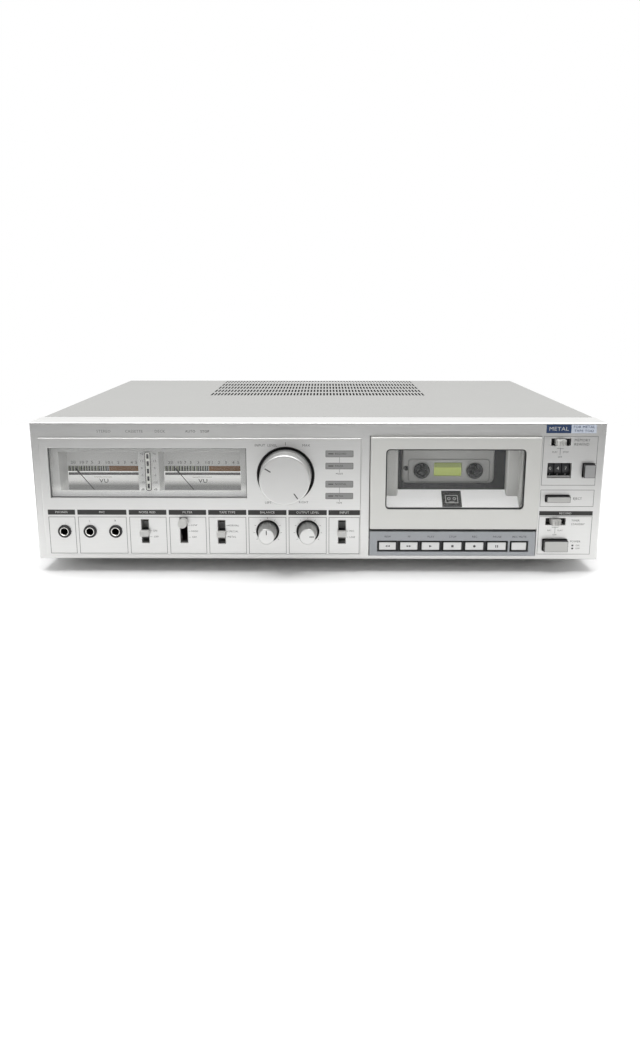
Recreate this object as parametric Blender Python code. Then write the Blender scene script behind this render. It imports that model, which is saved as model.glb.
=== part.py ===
"""Front-loading stereo cassette deck: fascia, wrapped cover, hinged cassette door with its holder,
key row, level knobs, lever switches, needle meters, tape counter and the transport behind the door.

Shapes are written in millimetres in the frame of the fascia: x from the middle to the right, y from
the front face to the rear, z from the underside of the fascia. node() turns them into metres, with
the origin of the whole deck under the middle of its bounding box.
"""

import math

import bmesh
import bpy
from mathutils import Vector

# ---------------------------------------------------------------- driving dimensions (mm)
WIDTH = 435.0
HEIGHT = 107.7
DEPTH = 310.0
FOOT_HEIGHT = 10.3
KNOB_REACH = 20.5
REAR_REACH = 6.0
FRONT_Y = -(KNOB_REACH + DEPTH + REAR_REACH) / 2 + KNOB_REACH

FASCIA_DEPTH = 29.0
FASCIA_WALL = 4.0
FASCIA_RIM = 2.8
RAISED = 1.8
SHEET = 1.5
GAP = 0.3

HALF = WIDTH / 2
RAISED_PANEL = (-211.3, 33.1, 4.0, 96.0)
METER_OPENING = (-204.6, -54.0, 49.6, 88.4)
TRANSPORT_OPENING = (39.6, 169.2, 3.2, 97.4)
DOOR = (40.2, 168.6, 25.5, 96.8)
DOOR_WINDOW = (51.7, 157.2, 41.5, 88.2)
DOOR_FRONT, DOOR_BACK = -4.0, 2.5
DOOR_HINGE = (0.5, 27.5)
KEY_BEZEL = (40.2, 168.6, 3.5, 23.1)
KEY_ROW_Z = (7.4, 14.9)
KEYS = (
    ("rewind_key", 47.0, 61.5),
    ("fast_forward_key", 63.4, 78.3),
    ("play_key", 80.1, 95.2),
    ("stop_key", 96.9, 112.3),
    ("record_key", 113.9, 129.3),
    ("pause_key", 131.1, 146.7),
    ("record_mute_key", 149.7, 162.4),
)
KEY_FRONT = -1.0

HUB_SPACING = 42.5
WELL_MIDDLE_X = 104.3
HUB_Z = 64.3
CAPSTAN = (129.3, 36.7)
MOTOR = (70.0, 30.0)
FLYWHEEL_RADIUS = 27.0
MOTOR_PULLEY_RADIUS = 6.0
PLATE_FRONT = 34.3
RAISED_PLATE = (67.4, 141.2, 54.0, 98.0)
RAISED_PLATE_FRONT = 31.0
HOLDER_BACK = 29.6
CASSETTE = (102.4, 12.0, 63.8)
CASSETTE_BOTTOM = 29.7

BIG_KNOB = (-24.2, 67.6)
SMALL_KNOBS = (("balance_knob", -38.5, 23.2, 90.0), ("output_level_knob", -7.5, 23.2, 0.0))
# name, middle x of the slot, bottom and top of the slot, lever height now, half length of its shutter
LEVERS = (
    ("noise_reduction_lever", -133.2, 13.9, 32.3, 22.2, 7.0),
    ("filter_lever", -103.3, 14.0, 33.9, 30.6, 3.9),
    ("tape_type_lever", -74.1, 13.4, 31.8, 21.6, 7.0),
    ("input_select_lever", 18.8, 13.6, 31.9, 22.0, 7.0),
)
JACKS = (("phones_jack", -195.7), ("mic_jack_left", -175.9), ("mic_jack_right", -156.1))
JACK_Z = 22.9
NEEDLES = (("left_meter_needle", -170.3, 41.8), ("right_meter_needle", -91.4, 42.0))
METER_MOUTHS = ((-198.7, -137.8), (-122.0, -59.1))
METER_MOUTH_Z = (53.8, 84.3)
NEEDLE_LENGTH = 33.4
NEEDLE_REST = 39.0
INDICATORS_Z = ((81.8, 86.6), (72.5, 77.1), (58.2, 63.1), (49.1, 53.6))
COUNTER_WINDOW = (174.6, 192.8, 65.3, 77.0)
COUNTER_AXIS = (13.1, 70.6)
COUNTER_RADIUS = 8.5
MEMORY_SLOT = (176.3, 191.1, 90.2, 95.8)
TIMER_SLOT = (175.8, 191.2, 28.1, 33.6)
VENT_ROWS, VENT_COLUMNS = 5, 20
VENT_FIELD = (-106.0, 102.4, 171.0, 304.0)


# ---------------------------------------------------------------- shapes
def loft(bm, rings, closed=False):
    """Joins rings of equal length by quads; the two end rings are capped unless the rings close up."""
    rows = [[bm.verts.new(point) for point in ring] for ring in rings]
    pairs = list(zip(rows, rows[1:]))
    if closed:
        pairs.append((rows[-1], rows[0]))
    else:
        bm.faces.new(rows[0])
        bm.faces.new(rows[-1])
    for first, second in pairs:
        for i in range(len(first)):
            j = (i + 1) % len(first)
            bm.faces.new((first[i], first[j], second[j], second[i]))


def rectangle(x0, x1, z0, z1, inset=0.0, radius=0.0, steps=3):
    """Corner points of a rectangle, drawn in by inset, with rounded corners where radius is set."""
    x0, x1, z0, z1 = x0 + inset, x1 - inset, z0 + inset, z1 - inset
    if radius <= 0:
        return [(x0, z0), (x1, z0), (x1, z1), (x0, z1)]
    corners = ((x0, z0, 180), (x1, z0, 270), (x1, z1, 0), (x0, z1, 90))
    points = []
    for cx, cz, start in corners:
        mx = cx + radius if cx == x0 else cx - radius
        mz = cz + radius if cz == z0 else cz - radius
        for k in range(steps + 1):
            angle = math.radians(start + 90 * k / steps)
            points.append((mx + radius * math.cos(angle), mz + radius * math.sin(angle)))
    return points


def box(bm, x0, x1, y0, y1, z0, z1):
    plate(bm, (x0, x1, z0, z1), ((y0, 0.0), (y1, 0.0)))


def plate(bm, sides, stations, radius=0.0, steps=3):
    """A slab facing the front. stations lists (y, inset), so that its edges can be chamfered."""
    rings = []
    for y, inset in stations:
        outline = rectangle(*sides, inset, radius, steps)
        rings.append([(x, y, z) for x, z in outline])
    loft(bm, rings)


def profile_x(bm, outline, x0, x1):
    """A (y, z) outline carried along x."""
    loft(bm, [[(x, y, z) for y, z in outline] for x in (x0, x1)])


def turned(bm, axis, centre, profile, steps=24, bored=False):
    """(radius, height) pairs turned about an axis through centre; bored joins the last to the first."""
    rings = []
    for radius, height in profile:
        ring = []
        for k in range(steps):
            angle = 2 * math.pi * (k + 0.5) / steps
            u, v = radius * math.cos(angle), radius * math.sin(angle)
            if axis == "x":
                ring.append((height, centre[0] + u, centre[1] + v))
            elif axis == "y":
                ring.append((centre[0] + u, height, centre[1] + v))
            else:
                ring.append((centre[0] + u, centre[1] + v, height))
        rings.append(ring)
    loft(bm, rings, bored)


def bar(bm, start, angle, inner, outer, width, y0, y1):
    """A straight bar in a plane that faces the front, from radius inner to outer along an angle."""
    along = Vector((math.cos(math.radians(angle)), math.sin(math.radians(angle))))
    across = Vector((-along.y, along.x)) * (width / 2)
    middle = Vector(start)
    near, far = middle + along * inner, middle + along * outer
    outline = (near - across, far - across, far + across, near + across)
    loft(bm, [[(p.x, y, p.y) for p in outline] for y in (y0, y1)])


def world(x, y, z):
    return Vector((x, y + FRONT_Y, z + FOOT_HEIGHT)) / 1000


# ---------------------------------------------------------------- nodes
def material(name, colour, roughness, metallic=0.0, transmission=0.0):
    made = bpy.data.materials.new(name)
    made.use_nodes = True
    surface = made.node_tree.nodes["Principled BSDF"]
    surface.inputs["Base Color"].default_value = (*colour, 1.0)
    surface.inputs["Roughness"].default_value = roughness
    surface.inputs["Metallic"].default_value = metallic
    surface.inputs["Transmission Weight"].default_value = transmission
    return made


def mesh_of(name, bm, origin):
    bmesh.ops.recalc_face_normals(bm, faces=bm.faces)
    for vertex in bm.verts:
        vertex.co = world(*vertex.co) - origin
    mesh = bpy.data.meshes.new(name)
    bm.to_mesh(mesh)
    bm.free()
    return mesh


def node(name, shape, finish, pivot, changes=(), parent=None):
    """One part of the deck, its origin at pivot. changes lists (operation, shape) booleans in order."""
    origin = world(*pivot)
    made = bpy.data.objects.new(name, mesh_of(name, shape, origin))
    made.data.materials.append(finish)
    made.data.shade_smooth()
    made.data.set_sharp_from_angle(angle=math.radians(35))
    bpy.context.scene.collection.objects.link(made)
    made.location = origin
    if parent:
        made.parent = parent
        made.location = origin - parent.location
    for index, (operation, other) in enumerate(changes):
        tool_name = f"{name}_{operation.lower()}_{index}"
        tool = bpy.data.objects.new(tool_name, mesh_of(tool_name, other, Vector()))
        bpy.context.scene.collection.objects.link(tool)
        tool.hide_render = True
        tool.display_type = "WIRE"
        modifier = made.modifiers.new(tool_name, "BOOLEAN")
        modifier.operation = operation
        modifier.solver = "EXACT"
        modifier.use_self = True
        modifier.object = tool
    return made


for old in list(bpy.data.objects):
    bpy.data.objects.remove(old, do_unlink=True)

SILVER = material("brushed_silver", (0.62, 0.62, 0.60), 0.38, 0.85)
COVER = material("light_grey_lacquer", (0.63, 0.63, 0.61), 0.5)
DOOR_SILVER = material("satin_silver", (0.60, 0.61, 0.57), 0.42, 0.6)
KEY_STRIP = material("blue_grey_satin", (0.33, 0.35, 0.38), 0.4, 0.6)
CHROME = material("polished_key_metal", (0.68, 0.68, 0.68), 0.22, 1.0)
DARK = material("dark_grey_plastic", (0.03, 0.03, 0.032), 0.5)
LIGHT_PLASTIC = material("light_grey_plastic", (0.55, 0.55, 0.53), 0.5)
GLASS = material("clear_acrylic", (0.95, 0.96, 0.95), 0.05, 0.0, 0.95)
LAMP = material("green_lit_window", (0.45, 0.52, 0.12), 0.35)
STEEL = material("zinc_plated_steel", (0.50, 0.50, 0.48), 0.4, 0.9)
BRASS = material("brass", (0.62, 0.45, 0.18), 0.35, 1.0)
RUBBER = material("black_rubber", (0.02, 0.02, 0.02), 0.85)
BOARD = material("brown_laminate", (0.22, 0.12, 0.04), 0.6)
IRON = material("lacquered_laminations", (0.09, 0.08, 0.07), 0.5, 0.4)
METER_FACE = material("meter_face_white", (0.62, 0.62, 0.56), 0.6)
NEEDLE = material("needle_black", (0.02, 0.02, 0.02), 0.5)

# ---- fascia: a tray open to the rear, with a raised field, knob wells and every front opening
shell = bmesh.new()
plate(shell, (-HALF, HALF, 0.0, HEIGHT), ((0.0, 1.2), (1.2, 0.0), (FASCIA_DEPTH, 0.0)))
cavity = bmesh.new()
box(cavity, -HALF + FASCIA_RIM, HALF - FASCIA_RIM, FASCIA_WALL, FASCIA_DEPTH + 5,
    FASCIA_RIM, HEIGHT - FASCIA_RIM)
raised = bmesh.new()
plate(raised, RAISED_PANEL, ((-RAISED, 0.8), (-RAISED + 0.8, 0.0), (2.0, 0.0)))
turned(raised, "y", BIG_KNOB, ((24.6, 3.0), (24.6, 9.0)), 40)
for _, x, z, _ in SMALL_KNOBS:
    turned(raised, "y", (x, z), ((11.2, 3.0), (11.2, 9.0)), 24)
openings = bmesh.new()
for sides in (METER_OPENING, TRANSPORT_OPENING, COUNTER_WINDOW, MEMORY_SLOT, TIMER_SLOT,
              (201.1, 210.3, 65.7, 76.8), (174.3, 193.2, 46.4, 51.9), (174.3, 193.4, 7.2, 16.9)):
    plate(openings, sides, ((-5.0, 0.0), (FASCIA_WALL + 1, 0.0)))
for name, x, z0, z1, _, _ in LEVERS:
    plate(openings, (x - 2.7, x + 2.7, z0, z1), ((-5.0, 0.0), (FASCIA_WALL + 1, 0.0)))
for _, x in JACKS:
    turned(openings, "y", (x, JACK_Z), ((4.3, -5.0), (4.3, FASCIA_WALL + 1)))
for z0, z1 in INDICATORS_Z:
    plate(openings, (6.2, 27.0, z0, z1), ((-5.0, 0.0), (-RAISED + 0.8, 0.0)))
turned(openings, "y", BIG_KNOB, ((22.0, -5.0), (22.0, 6.0), (3.5, 6.0), (3.5, 12.0)), 40)
for _, x, z, _ in SMALL_KNOBS:
    turned(openings, "y", (x, z), ((8.9, -5.0), (8.9, 6.0), (3.5, 6.0), (3.5, 12.0)), 24)
front_panel = node("front_panel", shell, SILVER, (0, 0, 0),
                   (("DIFFERENCE", cavity), ("UNION", raised), ("DIFFERENCE", openings)))

# ---- cabinet: wrapped cover with its vent field, bottom plate with posts, rear panel, feet
cover = bmesh.new()
loft(cover, [[(x, y, z) for x, z in (
    (-HALF, 0.0), (-HALF + SHEET, 0.0), (-HALF + SHEET, HEIGHT - SHEET), (HALF - SHEET, HEIGHT - SHEET),
    (HALF - SHEET, 0.0), (HALF, 0.0), (HALF, HEIGHT), (-HALF, HEIGHT))]
    for y in (FASCIA_DEPTH + GAP, DEPTH)])
vents = bmesh.new()
column_pitch = (VENT_FIELD[1] - VENT_FIELD[0]) / VENT_COLUMNS
row_pitch = (VENT_FIELD[3] - VENT_FIELD[2] + 4.0) / VENT_ROWS
for column in range(VENT_COLUMNS):
    middle = VENT_FIELD[0] + (column + 0.5) * column_pitch
    for row in range(VENT_ROWS):
        start = VENT_FIELD[2] + row * row_pitch
        box(vents, middle - 2.0, middle + 2.0, start, start + row_pitch - 4.0, HEIGHT - 6, HEIGHT + 3)
node("cabinet_cover", cover, COVER, (0, FASCIA_DEPTH, HEIGHT), (("DIFFERENCE", vents),))

bottom = bmesh.new()
box(bottom, -HALF + 2.1, HALF - 2.1, FASCIA_DEPTH + 0.4, 306.2, GAP, GAP + SHEET)
posts = bmesh.new()
for x in (-196.0, 16.0):
    for y in (70.0, 190.0):
        turned(posts, "z", (x, y), ((3.5, 1.0), (3.5, 11.7)), 12)
node("bottom_plate", bottom, STEEL, (0, 160, GAP), (("UNION", posts),))

rear = bmesh.new()
box(rear, -HALF + 2.1, HALF - 2.1, 306.5, 308.0, 2.1, HEIGHT - 2.1)
rear_holes = bmesh.new()
for x in (85.0, 115.0):
    for z in (45.0, 67.0):
        turned(rear_holes, "y", (x, z), ((4.9, 300.0), (4.9, 315.0)), 20)
turned(rear_holes, "y", (-170.0, 30.0), ((6.9, 300.0), (6.9, 315.0)), 20)
node("rear_panel", rear, STEEL, (0, 307, 2), (("DIFFERENCE", rear_holes),))

for name, x, y in (("front_left_foot", -182, 48), ("front_right_foot", 182, 48),
                   ("rear_left_foot", -182, 276), ("rear_right_foot", 182, 276)):
    foot = bmesh.new()
    turned(foot, "z", (x, y), ((13.5, -FOOT_HEIGHT), (15.0, -8.6), (17.0, 0.0)), 24)
    node(name, foot, RUBBER, (x, y, 0))

# ---- cassette door: frame, window and the holder that takes the cassette
hinge_point = (WELL_MIDDLE_X, *DOOR_HINGE)
frame = bmesh.new()
plate(frame, DOOR, ((DOOR_FRONT, 1.0), (DOOR_FRONT + 1.0, 0.0), (DOOR_BACK, 0.0)))
window_cut = bmesh.new()
plate(window_cut, DOOR_WINDOW, ((-9.0, 0.0), (9.0, 0.0)), 3.0)
door_panel = node("door_panel", frame, DOOR_SILVER, hinge_point, (("DIFFERENCE", window_cut),))
pane = bmesh.new()
plate(pane, DOOR_WINDOW, ((-3.4, GAP), (-1.4, GAP)), 2.7)
node("door_window", pane, GLASS, hinge_point, parent=door_panel)

holder = bmesh.new()
half_pocket = (CASSETTE[0] + 1.0) / 2
left, right = WELL_MIDDLE_X - half_pocket, WELL_MIDDLE_X + half_pocket
profile_x(holder, ((2.8, 40.9), (13.8, 52.6), (15.2, 52.6), (15.2, 28.0), (13.8, 28.0),
                   (13.8, 50.4), (2.8, 38.8)), left - 0.8, right + 0.8)
rails = bmesh.new()
for wall, inward in ((left, 1.0), (right, -1.0)):
    side = sorted((wall - 1.6 * inward, wall))
    profile_x(rails, ((2.8, 30.0), (8.0, 28.0), (HOLDER_BACK, 28.0), (HOLDER_BACK, 85.0),
                      (2.8, 92.0)), *side)
    flange = sorted((wall - 0.8 * inward, wall + 9.2 * inward))
    box(rails, *flange, 10.0, 15.3, 31.0, 88.0)
    lip = sorted((wall - 0.8 * inward, wall + 3.6 * inward))
    box(rails, *lip, 28.4, HOLDER_BACK, 30.0, 62.0)
    shelf = sorted((wall - 0.8 * inward, wall + 11.0 * inward))
    box(rails, *shelf, 14.6, 27.6, 28.0, 29.4)
node("cassette_holder", holder, LIGHT_PLASTIC, hinge_point, (("UNION", rails),), door_panel)

# ---- well behind the door and the transport plate with its raised field
liner = bmesh.new()
box(liner, 40.0, 168.8, 4.3, 34.0, 24.2, 102.5)
liner_cut = bmesh.new()
box(liner_cut, 42.0, 166.8, 2.0, 40.0, 26.2, 100.8)
slot_cut = bmesh.new()
box(slot_cut, 72.0, 152.5, 16.0, 40.0, 20.0, 30.0)
node("well_liner", liner, DARK, (WELL_MIDDLE_X, 4, 24),
     (("DIFFERENCE", liner_cut), ("DIFFERENCE", slot_cut)))

back = bmesh.new()
box(back, 41.0, 168.0, PLATE_FRONT, PLATE_FRONT + 2.0, 6.0, 101.0)
back_add = bmesh.new()
plate(back_add, RAISED_PLATE, ((RAISED_PLATE_FRONT, 1.5), (RAISED_PLATE_FRONT + 0.5, 0.5),
                              (RAISED_PLATE_FRONT + 1.5, 0.0), (PLATE_FRONT + 1.0, 0.0)), 4.0, 3)
plate(back_add, (72.5, 137.1, 55.4, 73.4), ((30.5, 0.4), (30.9, 0.0), (31.6, 0.0)), 3.0, 3)
turned(back_add, "y", (147.3, 25.8), ((1.5, 30.6), (1.5, 35.3)), 12)
back_cut = bmesh.new()
for side in (-1, 1):
    turned(back_cut, "y", (WELL_MIDDLE_X + side * HUB_SPACING / 2, HUB_Z), ((4.5, 27.0), (4.5, 40.0)))
turned(back_cut, "y", CAPSTAN, ((2.2, 30.0), (2.2, 40.0)), 16)
box(back_cut, 92.7, 115.1, 28.0, 32.0, 59.7, 70.9)
node("transport_plate", back, LIGHT_PLASTIC, (WELL_MIDDLE_X, PLATE_FRONT, HUB_Z),
     (("UNION", back_add), ("DIFFERENCE", back_cut)))
lamp = bmesh.new()
box(lamp, 93.0, 114.8, 30.7, 31.7, 60.0, 70.6)
node("tape_light_window", lamp, LAMP, (WELL_MIDDLE_X, 31, 65.3))

# ---- reel hubs: collar, splined tip and the drive disc behind the plate
for name, side in (("supply_reel_hub", -1), ("take_up_reel_hub", 1)):
    x = WELL_MIDDLE_X + side * HUB_SPACING / 2
    hub = bmesh.new()
    turned(hub, "y", (x, HUB_Z), ((2.2, 21.6), (3.3, 23.0), (3.3, 28.4), (6.3, 28.4), (6.3, 30.1),
                                  (4.0, 30.1), (4.0, 36.7), (13.0, 36.7), (13.0, 39.7)))
    fins = bmesh.new()
    for angle in (90, 210, 330):
        bar(fins, (x, HUB_Z), angle, 1.5, 4.8, 1.3, 23.6, 29.2)
    node(name, hub, DARK, (x, 36, HUB_Z), (("UNION", fins),))

# ---- tape drive: flywheel with the capstan, motor, pulley, belt and their bracket
wheel = bmesh.new()
turned(wheel, "y", CAPSTAN, ((1.1, 16.4), (1.1, 42.0), (5.0, 42.0), (5.0, 44.0), (FLYWHEEL_RADIUS, 44.0),
                             (FLYWHEEL_RADIUS, 52.0), (3.0, 52.0), (3.0, 53.9)), 40)
node("capstan_flywheel", wheel, BRASS, (CAPSTAN[0], 48, CAPSTAN[1]))
pulley = bmesh.new()
turned(pulley, "y", MOTOR, ((MOTOR_PULLEY_RADIUS, 44.6), (MOTOR_PULLEY_RADIUS, 51.4), (1.2, 51.4),
                            (1.2, 55.9)), 20)
node("motor_pulley", pulley, BRASS, (MOTOR[0], 48, MOTOR[1]))
motor = bmesh.new()
turned(motor, "y", MOTOR, ((15.0, 56.2), (16.0, 57.2), (16.0, 89.0), (14.5, 90.5)), 24)
node("capstan_motor", motor, STEEL, (MOTOR[0], 56, MOTOR[1]))

run = Vector(MOTOR) - Vector(CAPSTAN)
lean = math.acos((FLYWHEEL_RADIUS - MOTOR_PULLEY_RADIUS) / run.length)
heading = math.atan2(run.y, run.x)


def belt_outline(offset):
    points = []
    big, small = FLYWHEEL_RADIUS + offset, MOTOR_PULLEY_RADIUS + offset
    for k in range(21):
        angle = heading + lean + (2 * math.pi - 2 * lean) * k / 20
        points.append((CAPSTAN[0] + big * math.cos(angle), CAPSTAN[1] + big * math.sin(angle)))
    for k in range(9):
        angle = heading - lean + 2 * lean * k / 8
        points.append((MOTOR[0] + small * math.cos(angle), MOTOR[1] + small * math.sin(angle)))
    return points


belt = bmesh.new()
loft(belt, [[(x, y, z) for x, z in belt_outline(offset)]
            for offset, y in ((0.7, 46.0), (1.8, 46.0), (1.8, 50.0), (0.7, 50.0))], True)
node("drive_belt", belt, RUBBER, (MOTOR[0], 48, MOTOR[1]))

bracket = bmesh.new()
box(bracket, 44.0, 166.0, 54.3, 55.8, 6.0, 72.0)
bracket_add = bmesh.new()
for x in (47.0, 163.0):
    for z in (9.0, 69.0):
        turned(bracket_add, "y", (x, z), ((2.5, 36.6), (2.5, 55.0)), 12)
bracket_cut = bmesh.new()
turned(bracket_cut, "y", MOTOR, ((5.0, 50.0), (5.0, 60.0)), 20)
node("flywheel_bracket", bracket, STEEL, (WELL_MIDDLE_X, 55, 6),
     (("UNION", bracket_add), ("DIFFERENCE", bracket_cut)))

# ---- heads on their slide, pinch roller on its arm
slide = bmesh.new()
box(slide, 76.0, 118.0, 31.9, 33.9, 6.0, 20.0)
heads = bmesh.new()
box(heads, 98.0, 110.6, 17.6, 32.5, 17.0, 25.6)
box(heads, 82.0, 90.0, 18.6, 32.5, 17.0, 25.0)
node("head_block", slide, CHROME, (WELL_MIDDLE_X, 33, 6), (("UNION", heads),))
arm = bmesh.new()
bar(arm, (147.3, 25.8), math.degrees(math.atan2(-3.3, -17.7)), -4.0, 21.0, 5.0, 31.2, 33.2)
arm_pin = bmesh.new()
turned(arm_pin, "y", (129.6, 22.5), ((1.2, 16.8), (1.2, 32.2)), 12)
arm_hole = bmesh.new()
turned(arm_hole, "y", (147.3, 25.8), ((1.8, 29.0), (1.8, 35.0)), 12)
pinch_arm = node("pinch_roller_arm", arm, STEEL, (147.3, 32, 25.8),
                 (("UNION", arm_pin), ("DIFFERENCE", arm_hole)))
roller = bmesh.new()
turned(roller, "y", (129.6, 22.5), ((1.5, 17.6), (6.3, 17.6), (6.3, 27.6), (1.5, 27.6)), 24, True)
node("pinch_roller", roller, RUBBER, (129.6, 22.6, 22.5), (), pinch_arm)

# ---- key strip and its seven keys
bezel = bmesh.new()
plate(bezel, KEY_BEZEL, ((-1.2, 0.4), (-0.8, 0.0), (6.5, 0.0)))
bezel_add = bmesh.new()
box(bezel_add, 36.5, 172.3, 4.4, 6.5, 3.5, 23.1)
bezel_cut = bmesh.new()
box(bezel_cut, 46.2, 147.5, -5.0, 0.6, 6.7, 15.6)
box(bezel_cut, 148.9, 163.2, -5.0, 0.6, 6.7, 15.6)
key_cut = bmesh.new()
for _, x0, x1 in KEYS:
    box(key_cut, x0 - 0.4, x1 + 0.4, -6.0, 9.0, KEY_ROW_Z[0] - 0.4, KEY_ROW_Z[1] + 0.4)
node("key_bezel", bezel, KEY_STRIP, (WELL_MIDDLE_X, 0, 13),
     (("UNION", bezel_add), ("DIFFERENCE", bezel_cut), ("DIFFERENCE", key_cut)))
for name, x0, x1 in KEYS:
    middle = (x0 + x1) / 2
    key = bmesh.new()
    plate(key, (x0, x1, *KEY_ROW_Z), ((KEY_FRONT, 0.5), (KEY_FRONT + 0.5, 0.0), (9.0, 0.0)))
    stem = bmesh.new()
    box(stem, x0 + 0.6, x1 - 0.6, 7.0, 8.8, KEY_ROW_Z[0] - 1.6, KEY_ROW_Z[1] + 1.6)
    box(stem, middle - 2.0, middle + 2.0, 8.0, 22.0, 9.1, 13.1)
    node(name, key, CHROME, (middle, KEY_FRONT, 11.15), (("UNION", stem),))

# ---- push buttons, each with a collar behind the fascia that keeps it in
for name, sides, reach in (
    ("eject_button", (174.8, 192.7, 46.9, 51.4), -4.0),
    ("power_button", (174.8, 192.9, 7.7, 16.4), -5.0),
    ("counter_reset_button", (201.6, 209.8, 66.2, 76.3), -4.5),
):
    x0, x1, z0, z1 = sides
    button = bmesh.new()
    plate(button, sides, ((reach, 0.5), (reach + 0.5, 0.0), (12.0, 0.0)))
    collar = bmesh.new()
    box(collar, x0 - 1.8, x1 + 1.8, 4.9, 6.4, z0 - 1.8, z1 + 1.8)
    node(name, button, CHROME, ((x0 + x1) / 2, reach, (z0 + z1) / 2), (("UNION", collar),))

# ---- slide switches in the right column
for name, x, z in (("memory_switch_lever", 183.1, 93.0), ("timer_switch_lever", 183.3, 30.85)):
    lever = bmesh.new()
    plate(lever, (x - 3.3, x + 3.3, z - 2.3, z + 2.3), ((-4.6, 0.4), (-4.2, 0.0), (7.0, 0.0)))
    shutter = bmesh.new()
    box(shutter, x - 9.0, x + 9.0, 4.9, 6.2, z - 4.2, z + 4.2)
    ribs = bmesh.new()
    for k in range(-2, 3):
        box(ribs, x + k * 1.2 - 0.25, x + k * 1.2 + 0.25, -7.0, -4.0, z - 5.0, z + 5.0)
    node(name, lever, LIGHT_PLASTIC, (x, -4.6, z), (("UNION", shutter), ("DIFFERENCE", ribs)))

# ---- lever switches in the lower left row
for name, x, _, _, z, half_shutter in LEVERS:
    lever = bmesh.new()
    box(lever, x - 2.2, x + 2.2, -5.0, 12.0, z - 1.9, z + 1.9)
    lever_add = bmesh.new()
    if name == "filter_lever":
        turned(lever_add, "y", (x, z), ((2.6, -9.0), (3.2, -8.2), (3.2, -2.3)), 20)
    else:
        plate(lever_add, (x - 3.3, x + 3.3, z - 2.1, z + 2.1), ((-7.2, 0.5), (-6.7, 0.0), (-2.3, 0.0)))
    box(lever_add, x - 4.4, x + 4.4, 4.9, 6.4, z - half_shutter, z + half_shutter)
    node(name, lever, LIGHT_PLASTIC, (x, -7, z), (("UNION", lever_add),))

# ---- level knobs on their shafts, held by a washer behind the well floor
knob = bmesh.new()
turned(knob, "y", BIG_KNOB, ((18.2, -KNOB_REACH), (18.9, -KNOB_REACH + 0.8), (20.0, 4.6), (3.1, 4.6),
                             (3.1, 9.6), (6.0, 9.6), (6.0, 11.0), (3.1, 11.0), (3.1, 18.0)), 48)
marks = bmesh.new()
for angle in (148.0, -55.0):
    bar(marks, BIG_KNOB, angle, 12.0, 17.0, 0.9, -KNOB_REACH - 2, -KNOB_REACH + 0.4)
node("input_level_knob", knob, CHROME, (BIG_KNOB[0], 0, BIG_KNOB[1]), (("DIFFERENCE", marks),))
for name, x, z, pointer in SMALL_KNOBS:
    knob = bmesh.new()
    turned(knob, "y", (x, z), ((5.5, -16.6), (6.1, -16.0), (7.7, -1.0), (7.7, 4.6), (3.1, 4.6),
                               (3.1, 9.6), (5.0, 9.6), (5.0, 11.0), (3.1, 11.0), (3.1, 18.0)), 30)
    mark = bmesh.new()
    bar(mark, (x, z), pointer, 1.4, 4.9, 0.8, -19.0, -16.2)
    node(name, knob, CHROME, (x, 0, z), (("DIFFERENCE", mark),))

# ---- needle meters: housing with two wells, glass, needles and the column of peak lamps
housing = bmesh.new()
box(housing, -207.5, -51.0, 4.6, 30.0, 36.5, 92.0)
mouths = bmesh.new()
wells = bmesh.new()
for x0, x1 in METER_MOUTHS:
    box(mouths, x0, x1, 2.0, 10.0, *METER_MOUTH_Z)
    box(wells, x0, x1, 7.0, 24.0, 38.5, 89.0)
bosses = bmesh.new()
for _, x, z in NEEDLES:
    turned(bosses, "y", (x, z), ((1.0, 19.0), (1.0, 21.8), (2.6, 21.8), (2.6, 25.0)), 16)
node("meter_housing", housing, METER_FACE, (-129.3, 4, 64),
     (("DIFFERENCE", wells), ("DIFFERENCE", mouths), ("UNION", bosses)))
glass = bmesh.new()
plate(glass, METER_OPENING, ((0.6, GAP), (2.6, GAP)))
node("meter_window", glass, GLASS, (-129.3, 2, 69))
column = bmesh.new()
plate(column, (-132.2, -128.0, 54.2, 84.0), ((3.4, 0.0), (4.3, 0.0)), 2.0, 4)
lamps = bmesh.new()
for k in range(5):
    box(lamps, -131.5, -128.7, 3.0, 4.0, 56.2 + 5.6 * k, 59.7 + 5.6 * k)
node("peak_lamp_column", column, DARK, (-130.1, 4, 69), (("UNION", lamps),))
for name, x, z in NEEDLES:
    pointer = bmesh.new()
    turned(pointer, "y", (x, z), ((1.3, 20.0), (3.0, 20.0), (3.0, 21.4), (1.3, 21.4)), 16, True)
    blade = bmesh.new()
    bar(blade, (x, z), 90 + NEEDLE_REST, 2.0, NEEDLE_LENGTH, 0.6, 20.4, 21.0)
    node(name, pointer, NEEDLE, (x, 20.7, z), (("UNION", blade),))

# ---- tape counter: cheeks with an axle and three number wheels
cheeks = bmesh.new()
box(cheeks, 173.9, 193.9, 24.5, 26.0, 60.5, 80.5)
cheeks_add = bmesh.new()
for x in (173.9, 192.8):
    box(cheeks_add, x, x + 1.1, 4.3, 25.2, 60.5, 80.5)
turned(cheeks_add, "x", COUNTER_AXIS, ((1.2, 174.4), (1.2, 193.3)), 12)
node("counter_housing", cheeks, DARK, (183.9, 4, 70), (("UNION", cheeks_add),))
for name, x in (("counter_wheel_hundreds", 178.0), ("counter_wheel_tens", 183.9),
                ("counter_wheel_units", 189.8)):
    drum = bmesh.new()
    turned(drum, "x", COUNTER_AXIS, ((1.5, x - 2.65), (COUNTER_RADIUS, x - 2.65),
                                     (COUNTER_RADIUS, x + 2.65), (1.5, x + 2.65)), 20, True)
    node(name, drum, DARK, (x, *COUNTER_AXIS))

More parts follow.
